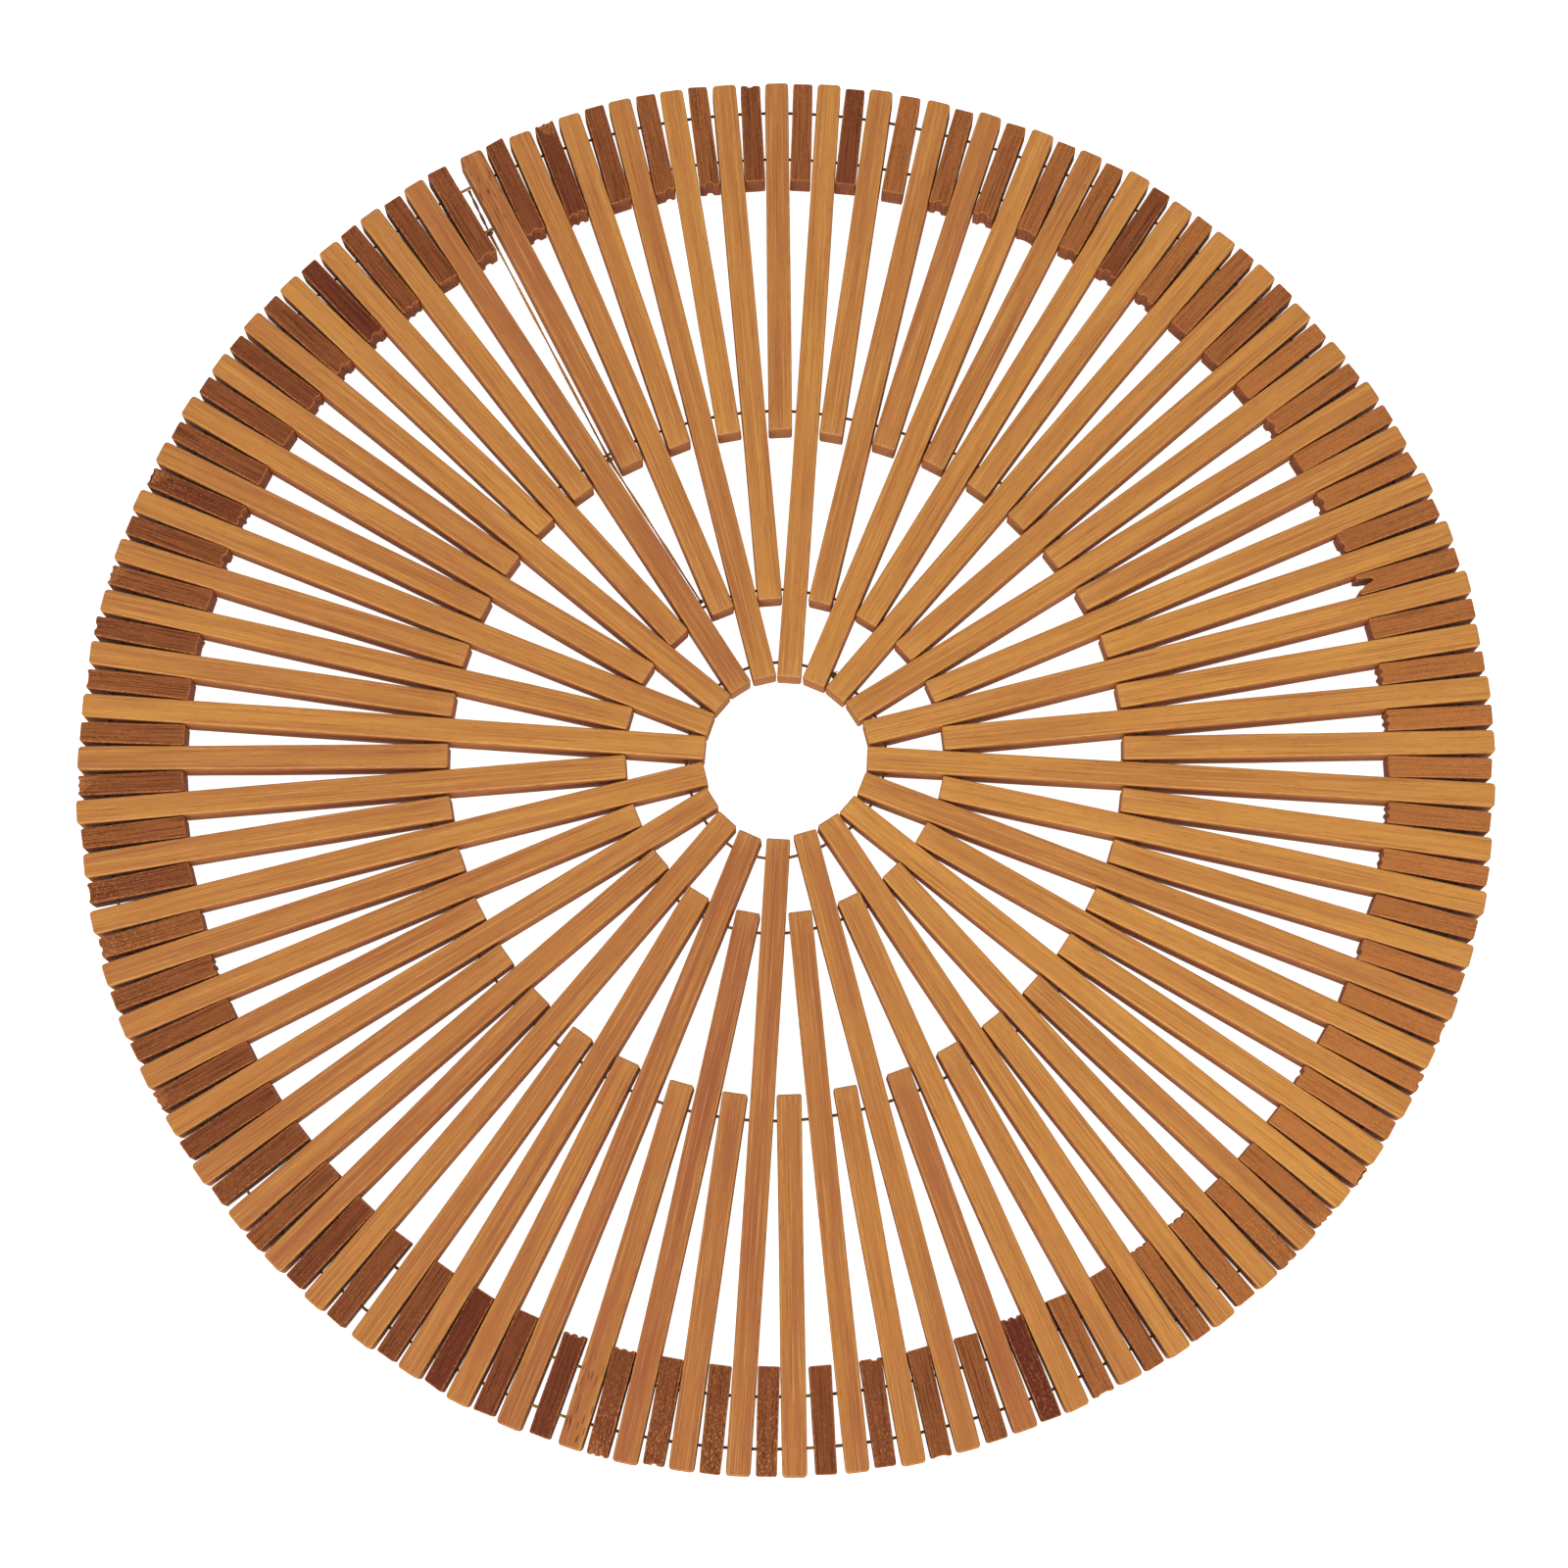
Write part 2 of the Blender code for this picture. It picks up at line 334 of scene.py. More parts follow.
def linear(colour: str) -> tuple[float, float, float, float]:
    """Turn an sRGB hex colour into the linear values that a shader takes.

    Args:
        colour: the colour as "#rrggbb".

    Returns:
        Linear red, green and blue, and an alpha of one.
    """
    parts = [int(colour[place:place + 2], 16) / 255 for place in (1, 3, 5)]
    values = [
        part / 12.92 if part <= 0.04045 else ((part + 0.055) / 1.055) ** 2.4 for part in parts
    ]
    return (values[0], values[1], values[2], 1.0)


def add_node(
    tree: bpy.types.NodeTree,
    kind: str,
    inputs: dict[str | int, object] | None = None,
    **settings: object,
) -> bpy.types.Node:
    """Add one node to a material.

    Args:
        tree: the material's node tree.
        kind: the node's type.
        inputs: by socket name or index, the output that feeds it or the value it holds.
        **settings: the node's own properties.

    Returns:
        The new node.
    """
    node = tree.nodes.new(kind)
    for name, value in settings.items():
        setattr(node, name, value)
    for name, value in (inputs or {}).items():
        if isinstance(value, bpy.types.NodeSocket):
            tree.links.new(value, node.inputs[name])
        else:
            node.inputs[name].default_value = value
    return node


def deselect_all() -> None:
    """Leave edit mode and deselect everything."""
    if bpy.context.object and bpy.context.object.mode != "OBJECT":
        bpy.ops.object.mode_set(mode="OBJECT")
    bpy.ops.object.select_all(action="DESELECT")


def make_active(thing: bpy.types.Object) -> None:
    """Select one object alone and make it the active one."""
    deselect_all()
    thing.select_set(True)
    bpy.context.view_layer.objects.active = thing


def select_edges(thing: bpy.types.Object, wanted: Callable[[bmesh.types.BMEdge], bool]) -> None:
    """Select edges of the object in edit mode by a test.

    Args:
        thing: the object that is being edited.
        wanted: says of an edge whether it is selected.
    """
    bpy.ops.mesh.select_mode(type="EDGE")
    bpy.ops.mesh.select_all(action="DESELECT")
    shape = bmesh.from_edit_mesh(thing.data)
    for edge in shape.edges:
        if wanted(edge):
            edge.select_set(True)
    bmesh.update_edit_mesh(thing.data)


def apply_modifier(thing: bpy.types.Object, modifier: bpy.types.Modifier) -> None:
    """Apply one modifier of an object."""
    make_active(thing)
    bpy.ops.object.modifier_apply(modifier=modifier.name)


def write_points(mesh: bpy.types.Mesh, name: str, kind: str, values: np.ndarray) -> None:
    """Write an attribute with one value for each vertex.

    Args:
        mesh: the mesh.
        name: the attribute's name.
        kind: FLOAT or FLOAT_VECTOR.
        values: one row for each vertex.
    """
    attribute = mesh.attributes.get(name) or mesh.attributes.new(name, kind, "POINT")
    slot = "vector" if kind == "FLOAT_VECTOR" else "value"
    attribute.data.foreach_set(slot, np.asarray(values, dtype=np.float32).ravel())


def points_of(mesh: bpy.types.Mesh) -> np.ndarray:
    """Return the places of a mesh's vertices as rows."""
    places = np.empty(len(mesh.vertices) * 3, dtype=np.float32)
    mesh.vertices.foreach_get("co", places)
    return places.reshape(-1, 3).astype(float)


def join(things: list[bpy.types.Object], name: str) -> bpy.types.Object:
    """Join objects into the first of them and give it a name.

    Args:
        things: the objects.
        name: the name of the whole.

    Returns:
        The joined object.
    """
    make_active(things[0])
    for thing in things:
        thing.select_set(True)
    if len(things) > 1:
        bpy.ops.object.join()
    things[0].name = name
    things[0].data.name = name
    return things[0]


def hand_over(
    thing: bpy.types.Object, material: bpy.types.Material, slot: str, *nodes: str,
) -> None:
    """Dress a finished piece, tie it to the body and hide the nodes that it stands for.

    Args:
        thing: the piece.
        material: its material.
        slot: the record's material slot; not used.
        *nodes: the nodes that it stands for.
    """
    thing.data.materials.clear()
    thing.data.materials.append(material)
    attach(thing, BODY)
    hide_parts(*nodes)
    LOG.info("%s: %d faces", thing.name, len(thing.data.polygons))


@dataclass(frozen=True)
class DrilledHoles:
    """The thread holes in the sides of the sticks: not cut, but painted dark as the shade in their
    mouths.

    Args:
        radius: radius of a hole.
        rim: width of the soft edge round it.
    """

    radius: float = 0.95 * MM
    rim: float = 0.2 * MM

    def mask(self, tree: bpy.types.NodeTree, layout: MatLayout) -> bpy.types.NodeSocket:
        """Build a mask that is one inside a hole and nought beside it.

        Args:
            tree: the material's node tree.
            layout: where the rings of thread run.

        Returns:
            The mask's output.
        """
        place = add_node(tree, "ShaderNodeTexCoord").outputs["Object"]
        parts = add_node(tree, "ShaderNodeSeparateXYZ", {0: place})
        radial = add_node(tree, "ShaderNodeAttribute", attribute_name="true_radius").outputs["Fac"]
        nearest = None
        for ring in layout.rings.values():
            away = add_node(tree, "ShaderNodeMath", {0: radial, 1: ring}, operation="SUBTRACT")
            off = add_node(tree, "ShaderNodeMath", {0: away.outputs[0]}, operation="ABSOLUTE")
            if nearest is None:
                nearest = off
            else:
                nearest = add_node(
                    tree, "ShaderNodeMath", {0: nearest.outputs[0], 1: off.outputs[0]},
                    operation="MINIMUM",
                )
        rise = add_node(
            tree, "ShaderNodeMath", {0: parts.outputs[2], 1: layout.thread_height},
            operation="SUBTRACT",
        )
        offset = add_node(
            tree, "ShaderNodeCombineXYZ", {0: nearest.outputs[0], 1: rise.outputs[0]},
        )
        distance = add_node(
            tree, "ShaderNodeVectorMath", {0: offset.outputs[0]}, operation="LENGTH",
        )
        inside = add_node(
            tree, "ShaderNodeMapRange",
            {0: distance.outputs["Value"], 1: self.radius, 2: self.radius - self.rim, 3: 0.0, 4: 1.0},
            interpolation_type="SMOOTHSTEP",
        )
        return inside.outputs[0]


@dataclass(frozen=True)
class PlanedBamboo:
    """Bamboo strip, planed, stained caramel and sprayed with satin lacquer.

    The lacquer gives soft pale lines of light along the rounded edges, and the edges are also
    painted paler, partly as wear and partly as a painted highlight. Under the lacquer the fibres
    show as fine lengthwise streaks. The sawn sides are painted darker and redder, partly as the
    stain that they took and partly as painted shade, and the ends took more of the stain. Sides
    and ends weren't lacquered, so they stay dull and warm when they are seen at a slant.

    Args:
        name: name of the material.
        pale: colour of the palest strip.
        deep: colour of the reddest strip.
        streak: colour of the dark fibres.
        glint: colour of the pale fibres, and of the edges painted paler as wear and as painted
            highlight.
        side: colour of the sawn sides, darker and redder than the top, partly as stain and partly as
            painted shade.
        end_grain: colour of the ends.
        fleck: colour of the short dark strokes on a few sticks.
        hole: colour of the painted shade inside the thread holes.
        roughness: mean roughness of the wood.
        refraction: how strongly bare wood mirrors, as its index of refraction.
        lacquer: how much of the top the lacquer covers.
        lacquer_roughness: roughness of the lacquer.
        lacquer_start: how far below the top the lacquer begins to thin out.
        lacquer_end: how far below the top there is none.
        edge_start: how far below the top the sawn side begins.
        edge_end: how far below the top it is plain side.
        fleck_start: radius from which the strokes show.
        fleck_full: radius from which they show in full.
        relief: depth of the grain.
    """

    name: str = "planed_bamboo_satin_lacquer"
    pale: str = "#db9845"
    deep: str = "#ab6038"
    streak: str = "#98502c"
    glint: str = "#eeb767"
    side: str = "#c06a36"
    end_grain: str = "#ac6440"
    fleck: str = "#43200f"
    hole: str = "#2a140c"
    roughness: float = 0.48
    refraction: float = 1.14
    lacquer: float = 0.5
    lacquer_roughness: float = 0.28
    lacquer_start: float = 0.2 * MM
    lacquer_end: float = 0.7 * MM
    edge_start: float = 0.35 * MM
    edge_end: float = 0.9 * MM
    fleck_start: float = 160.0 * MM
    fleck_full: float = 170.0 * MM
    fleck_length: float = 4.2 * MM
    fleck_width: float = 0.5 * MM
    patch_length: float = 28.0 * MM
    patch_width: float = 1.7 * MM
    streak_width: float = 0.40 * MM
    streak_length: float = 30.0 * MM
    fibre_width: float = 0.26 * MM
    fibre_length: float = 3.0 * MM
    band_width: float = 3.0 * MM
    band_length: float = 60.0 * MM
    relief: float = 0.04 * MM

    def material(self, layout: MatLayout) -> bpy.types.Material:
        """Make the material.

        Args:
            layout: where the threads run, for the holes.

        Returns:
            The new material.
        """
        material = bpy.data.materials.new(self.name)
        material.use_nodes = True
        tree = material.node_tree
        shader = tree.nodes["Principled BSDF"]
        grain = add_node(tree, "ShaderNodeAttribute", attribute_name="grain").outputs["Vector"]
        tone = add_node(tree, "ShaderNodeAttribute", attribute_name="tone").outputs["Fac"]
        arris = add_node(tree, "ShaderNodeAttribute", attribute_name="arris").outputs["Fac"]
        ends = add_node(tree, "ShaderNodeAttribute", attribute_name="end_grain").outputs["Fac"]
        flecked = add_node(tree, "ShaderNodeAttribute", attribute_name="flecked").outputs["Fac"]

        bands = fibre_noise(tree, grain, self.band_length, self.band_width, 2.0, 0.5)
        streaks = fibre_noise(tree, grain, self.streak_length, self.streak_width, 3.0, 0.6)
        fibres = fibre_noise(tree, grain, self.fibre_length, self.fibre_width, 2.0, 0.5)
        sway = ramp(tree, bands, 0.3, 0.7, -0.16, 0.16)
        mood = add_node(tree, "ShaderNodeMath", {0: tone, 1: sway}, operation="ADD", use_clamp=True)
        body = mix(tree, mood.outputs[0], linear(self.deep), linear(self.pale))
        patches = fibre_noise(tree, grain, self.patch_length, self.patch_width, 1.0, 0.5)
        dark = product(
            tree, ramp(tree, streaks, 0.52, 0.60, 0.0, 0.46),
            ramp(tree, patches, 0.38, 0.62, 0.25, 1.0),
        )
        body = mix(tree, dark, body, linear(self.streak))
        light = ramp(tree, streaks, 0.44, 0.36, 0.0, 0.34)
        body = mix(tree, light, body, linear(self.glint))
        fine = ramp(tree, fibres, 0.56, 0.66, 0.0, 0.30)
        body = mix(tree, fine, body, linear(self.streak))

        height = add_node(tree, "ShaderNodeSeparateXYZ", {0: grain}).outputs[2]
        top = layout.height
        # Painted shade and stain: the sawn sides are painted darker and redder than the top, partly
        # the stain that they took and partly the shade where less light reaches them.
        sawn = ramp(tree, height, top - self.edge_start, top - self.edge_end, 0.0, 0.75)
        body = mix(tree, sawn, body, linear(self.side))
        body = mix(tree, scaled(tree, ends, 0.6), body, linear(self.end_grain))
        # Wear and painted highlight: the rounded edges are painted paler with the glint colour, in
        # streaks along the fibres.
        wear_and_highlight = product(tree, arris, ramp(tree, fibres, 0.4, 0.6, 0.55, 0.10))
        body = mix(tree, wear_and_highlight, body, linear(self.glint))

        radius = add_node(tree, "ShaderNodeAttribute", attribute_name="true_radius").outputs["Fac"]
        near_rim = ramp(tree, radius, self.fleck_start, self.fleck_full, 0.0, 1.0)
        strokes = fibre_noise(tree, grain, self.fleck_length, self.fleck_width, 0.0, 0.4)
        marked = product(
            tree, ramp(tree, strokes, 0.66, 0.70, 0.0, 0.75), product(tree, near_rim, flecked),
        )
        body = mix(tree, marked, body, linear(self.fleck))
        # Painted shade: the thread holes aren't cut, so the shade in their mouths is painted dark.
        holes = DrilledHoles().mask(tree, layout)
        body = mix(tree, holes, body, linear(self.hole))
        tree.links.new(body, shader.inputs["Base Color"])

        gloss = ramp(tree, streaks, 0.35, 0.65, self.roughness - 0.06, self.roughness + 0.10)
        tree.links.new(gloss, shader.inputs["Roughness"])
        shader.inputs["IOR"].default_value = self.refraction
        coat = ramp(tree, height, top - self.lacquer_end, top - self.lacquer_start, 0.0, self.lacquer)
        tree.links.new(coat, shader.inputs["Coat Weight"])
        shader.inputs["Coat Roughness"].default_value = self.lacquer_roughness
        relief = add_node(
            tree, "ShaderNodeMath", {0: streaks, 1: scaled(tree, fibres, 0.5)}, operation="ADD",
        )
        bump = add_node(
            tree, "ShaderNodeBump",
            {"Strength": 0.6, "Distance": self.relief, "Height": relief.outputs[0]},
        )
        tree.links.new(bump.outputs[0], shader.inputs["Normal"])
        return material


@dataclass(frozen=True)
class SawnBamboo:
    """Bamboo strip from near the skin, sawn, stained dark and hardly lacquered.

    Its coarse fibres drink the stain unevenly, so the top is streaked and speckled. The rounded
    edges are painted paler in speckles, partly as wear back to the pale wood and partly as a
    painted highlight.

    Args:
        name: name of the material.
        pale: colour of the palest strip.
        deep: colour of the darkest strip.
        streak: colour of the dark fibres.
        speck: colour of the golden specks.
        wear_and_highlight: colour of the pale edges, partly wear and partly painted highlight.
        side: colour of the sawn sides, darker than the top, partly as stain and partly as painted
            shade.
        end_grain: colour of the ends.
        hole: colour of the painted shade inside the thread holes.
        roughness: mean roughness of the wood.
        refraction: how strongly bare wood mirrors, as its index of refraction.
        edge_start: how far below the top the sawn side begins.
        edge_end: how far below the top it is plain side.
        speck_start: radius up to which specks are few.
        speck_full: radius from which they show in full.
        relief: depth of the grain.
    """

    name: str = "sawn_bamboo_dark_stain"
    pale: str = "#c87e44"
    deep: str = "#713424"
    streak: str = "#451b10"
    speck: str = "#e2a05c"
    wear_and_highlight: str = "#d98f55"
    side: str = "#5c2517"
    end_grain: str = "#8f4832"
    hole: str = "#22100a"
    roughness: float = 0.52
    refraction: float = 1.16
    edge_start: float = 0.35 * MM
    edge_end: float = 0.9 * MM
    speck_start: float = 164.0 * MM
    speck_full: float = 186.0 * MM
    streak_width: float = 0.34 * MM
    streak_length: float = 22.0 * MM
    fibre_width: float = 0.30 * MM
    fibre_length: float = 0.8 * MM
    relief: float = 0.10 * MM

    def material(self, layout: MatLayout) -> bpy.types.Material:
        """Make the material.

        Args:
            layout: where the threads run, for the holes.

        Returns:
            The new material.
        """
        material = bpy.data.materials.new(self.name)
        material.use_nodes = True
        tree = material.node_tree
        shader = tree.nodes["Principled BSDF"]
        grain = add_node(tree, "ShaderNodeAttribute", attribute_name="grain").outputs["Vector"]
        tone = add_node(tree, "ShaderNodeAttribute", attribute_name="tone").outputs["Fac"]
        arris = add_node(tree, "ShaderNodeAttribute", attribute_name="arris").outputs["Fac"]
        ends = add_node(tree, "ShaderNodeAttribute", attribute_name="end_grain").outputs["Fac"]

        streaks = fibre_noise(tree, grain, self.streak_length, self.streak_width, 3.0, 0.65)
        fibres = fibre_noise(tree, grain, self.fibre_length, self.fibre_width, 2.0, 0.6)
        body = mix(tree, tone, linear(self.deep), linear(self.pale))
        dark = product(
            tree, ramp(tree, streaks, 0.50, 0.58, 0.0, 0.62),
            ramp(tree, tone, 0.4, 0.9, 1.0, 0.45),
        )
        body = mix(tree, dark, body, linear(self.streak))
        speckled = add_node(tree, "ShaderNodeAttribute", attribute_name="flecked").outputs["Fac"]
        radius = add_node(tree, "ShaderNodeAttribute", attribute_name="true_radius").outputs["Fac"]
        near_rim = ramp(tree, radius, self.speck_start, self.speck_full, 0.35, 1.0)
        specks = product(tree, ramp(tree, fibres, 0.44, 0.36, 0.0, 0.8), speckled)
        body = mix(tree, product(tree, specks, near_rim), body, linear(self.speck))
        fine = ramp(tree, fibres, 0.56, 0.70, 0.0, 0.30)
        body = mix(tree, fine, body, linear(self.streak))
        height = add_node(tree, "ShaderNodeSeparateXYZ", {0: grain}).outputs[2]
        top = layout.height
        # Painted shade and stain: the sawn sides are painted darker than the top, partly the stain
        # that they took and partly the shade where less light reaches them.
        sawn = ramp(tree, height, top - self.edge_start, top - self.edge_end, 0.0, 0.8)
        body = mix(tree, sawn, body, linear(self.side))
        body = mix(tree, scaled(tree, ends, 0.8), body, linear(self.end_grain))
        # Wear and painted highlight: the rounded edges are painted paler in speckles along the
        # fibres.
        wear_and_highlight_mask = product(tree, arris, ramp(tree, fibres, 0.62, 0.42, 0.10, 0.85))
        body = mix(tree, wear_and_highlight_mask, body, linear(self.wear_and_highlight))
        # Painted shade: the thread holes aren't cut, so the shade in their mouths is painted dark.
        holes = DrilledHoles().mask(tree, layout)
        body = mix(tree, holes, body, linear(self.hole))
        tree.links.new(body, shader.inputs["Base Color"])
        gloss = ramp(tree, fibres, 0.35, 0.65, self.roughness - 0.10, self.roughness + 0.12)
        tree.links.new(gloss, shader.inputs["Roughness"])
        shader.inputs["IOR"].default_value = self.refraction
        relief = add_node(tree, "ShaderNodeMath", {0: streaks, 1: fibres}, operation="ADD")
        bump = add_node(
            tree, "ShaderNodeBump",
            {"Strength": 0.8, "Distance": self.relief, "Height": relief.outputs[0]},
        )
        tree.links.new(bump.outputs[0], shader.inputs["Normal"])
        return material


@dataclass(frozen=True)
class TwistedThread:
    """Two-ply cotton thread, waxed: matt, with the slanting ridges of its twist.

    Args:
        name: name of the material.
        pale: colour of golden thread.
        dark: colour of brown thread.
        shade: colour of the painted shade in the grooves of brown thread.
        warm_shade: colour of the painted shade in the grooves of golden thread.
        twist: length of one turn of the twist.
        fuzz: size of the fibres that stand off.
        relief: depth of the twist.
        roughness: its roughness.
    """

    name: str = "twisted_cotton_thread"
    pale: str = "#f0be70"
    dark: str = "#7c4430"
    shade: str = "#3a1f12"
    warm_shade: str = "#b98444"
    twist: float = 1.6 * MM
    fuzz: float = 0.5 * MM
    relief: float = 0.10 * MM
    roughness: float = 0.75

    def material(self) -> bpy.types.Material:
        """Make the material."""
        material = bpy.data.materials.new(self.name)
        material.use_nodes = True
        tree = material.node_tree
        shader = tree.nodes["Principled BSDF"]
        lay = add_node(tree, "ShaderNodeAttribute", attribute_name="lay").outputs["Vector"]
        tone = add_node(tree, "ShaderNodeAttribute", attribute_name="tone").outputs["Fac"]
        parts = add_node(tree, "ShaderNodeSeparateXYZ", {0: lay})
        turn = scaled(tree, parts.outputs[0], 2 * math.pi / self.twist)
        sine = add_node(tree, "ShaderNodeMath", {0: turn}, operation="SINE")
        cosine = add_node(tree, "ShaderNodeMath", {0: turn}, operation="COSINE")
        first = add_node(
            tree, "ShaderNodeMath", {0: sine.outputs[0], 1: parts.outputs[1]},
            operation="MULTIPLY",
        )
        ridge = add_node(
            tree, "ShaderNodeMath",
            {0: cosine.outputs[0], 1: parts.outputs[2], 2: first.outputs[0]},
            operation="MULTIPLY_ADD",
        )
        fuzz = add_node(
            tree, "ShaderNodeTexNoise",
            {"Vector": add_node(tree, "ShaderNodeTexCoord").outputs["Object"],
             "Scale": 1 / self.fuzz, "Detail": 2.0},
        )
        body = mix(tree, tone, linear(self.dark), linear(self.pale))
        shade = mix(tree, tone, linear(self.shade), linear(self.warm_shade))
        # Painted shade in the grooves of the twist; the fuzz noise also mottles the thread towards
        # the same colour.
        groove = ramp(tree, ridge.outputs[0], 0.1, -0.9, 0.0, 0.6)
        body = mix(tree, groove, body, shade)
        body = mix(tree, ramp(tree, fuzz.outputs["Fac"], 0.5, 0.7, 0.0, 0.3), body, shade)
        tree.links.new(body, shader.inputs["Base Color"])
        shader.inputs["Roughness"].default_value = self.roughness
        shader.inputs["Sheen Weight"].default_value = 0.2
        bump = add_node(
            tree, "ShaderNodeBump",
            {"Strength": 0.8, "Distance": self.relief, "Height": ridge.outputs[0]},
        )
        tree.links.new(bump.outputs[0], shader.inputs["Normal"])
        return material


def fibre_noise(
    tree: bpy.types.NodeTree,
    grain: bpy.types.NodeSocket,
    length: float,
    width: float,
    detail: float,
    roughness: float,
) -> bpy.types.NodeSocket:
    """Build a noise that is drawn out along the grain.

    Args:
        tree: the material's node tree.
        grain: place along, across and up the stick, in metres.
        length: length of a fibre.
        width: width of a fibre, across and up.
        detail: octaves of the noise.
        roughness: strength of its finer octaves.

    Returns:
        The noise, around one half.
    """
    place = add_node(
        tree, "ShaderNodeMapping", {"Vector": grain, "Scale": (1 / length, 1 / width, 1 / width)},
    )
    noise = add_node(
        tree, "ShaderNodeTexNoise",
        {"Vector": place.outputs[0], "Scale": 1.0, "Detail": detail, "Roughness": roughness},
    )
    return noise.outputs["Fac"]


def ramp(
    tree: bpy.types.NodeTree,
    value: bpy.types.NodeSocket,
    start: float,
    end: float,
    low: float,
    high: float,
) -> bpy.types.NodeSocket:
    """Map a value smoothly from one range to another.

    Args:
        tree: the material's node tree.
        value: the value.
        start: where the change starts.
        end: where it ends. It may be below start.
        low: result up to start.
        high: result from end on.

    Returns:
        The mapped value.
    """
    node = add_node(
        tree, "ShaderNodeMapRange", {0: value, 1: start, 2: end, 3: low, 4: high},
        interpolation_type="SMOOTHSTEP",
    )
    return node.outputs[0]


def scaled(
    tree: bpy.types.NodeTree, value: bpy.types.NodeSocket, factor: float,
) -> bpy.types.NodeSocket:
    """Multiply a value by a number."""
    node = add_node(tree, "ShaderNodeMath", {0: value, 1: factor}, operation="MULTIPLY")
    return node.outputs[0]


def product(
    tree: bpy.types.NodeTree, first: bpy.types.NodeSocket, second: bpy.types.NodeSocket,
) -> bpy.types.NodeSocket:
    """Multiply two values."""
    node = add_node(tree, "ShaderNodeMath", {0: first, 1: second}, operation="MULTIPLY")
    return node.outputs[0]


def mix(
    tree: bpy.types.NodeTree,
    share: bpy.types.NodeSocket,
    first: bpy.types.NodeSocket | tuple[float, ...],
    second: bpy.types.NodeSocket | tuple[float, ...],
) -> bpy.types.NodeSocket:
    """Mix two colours.

    Args:
        tree: the material's node tree.
        share: share of the second colour.
        first: the first colour.
        second: the second colour.

    Returns:
        The mixed colour.
    """
    node = add_node(tree, "ShaderNodeMix", {0: share, 6: first, 7: second}, data_type="RGBA")
    return node.outputs[2]


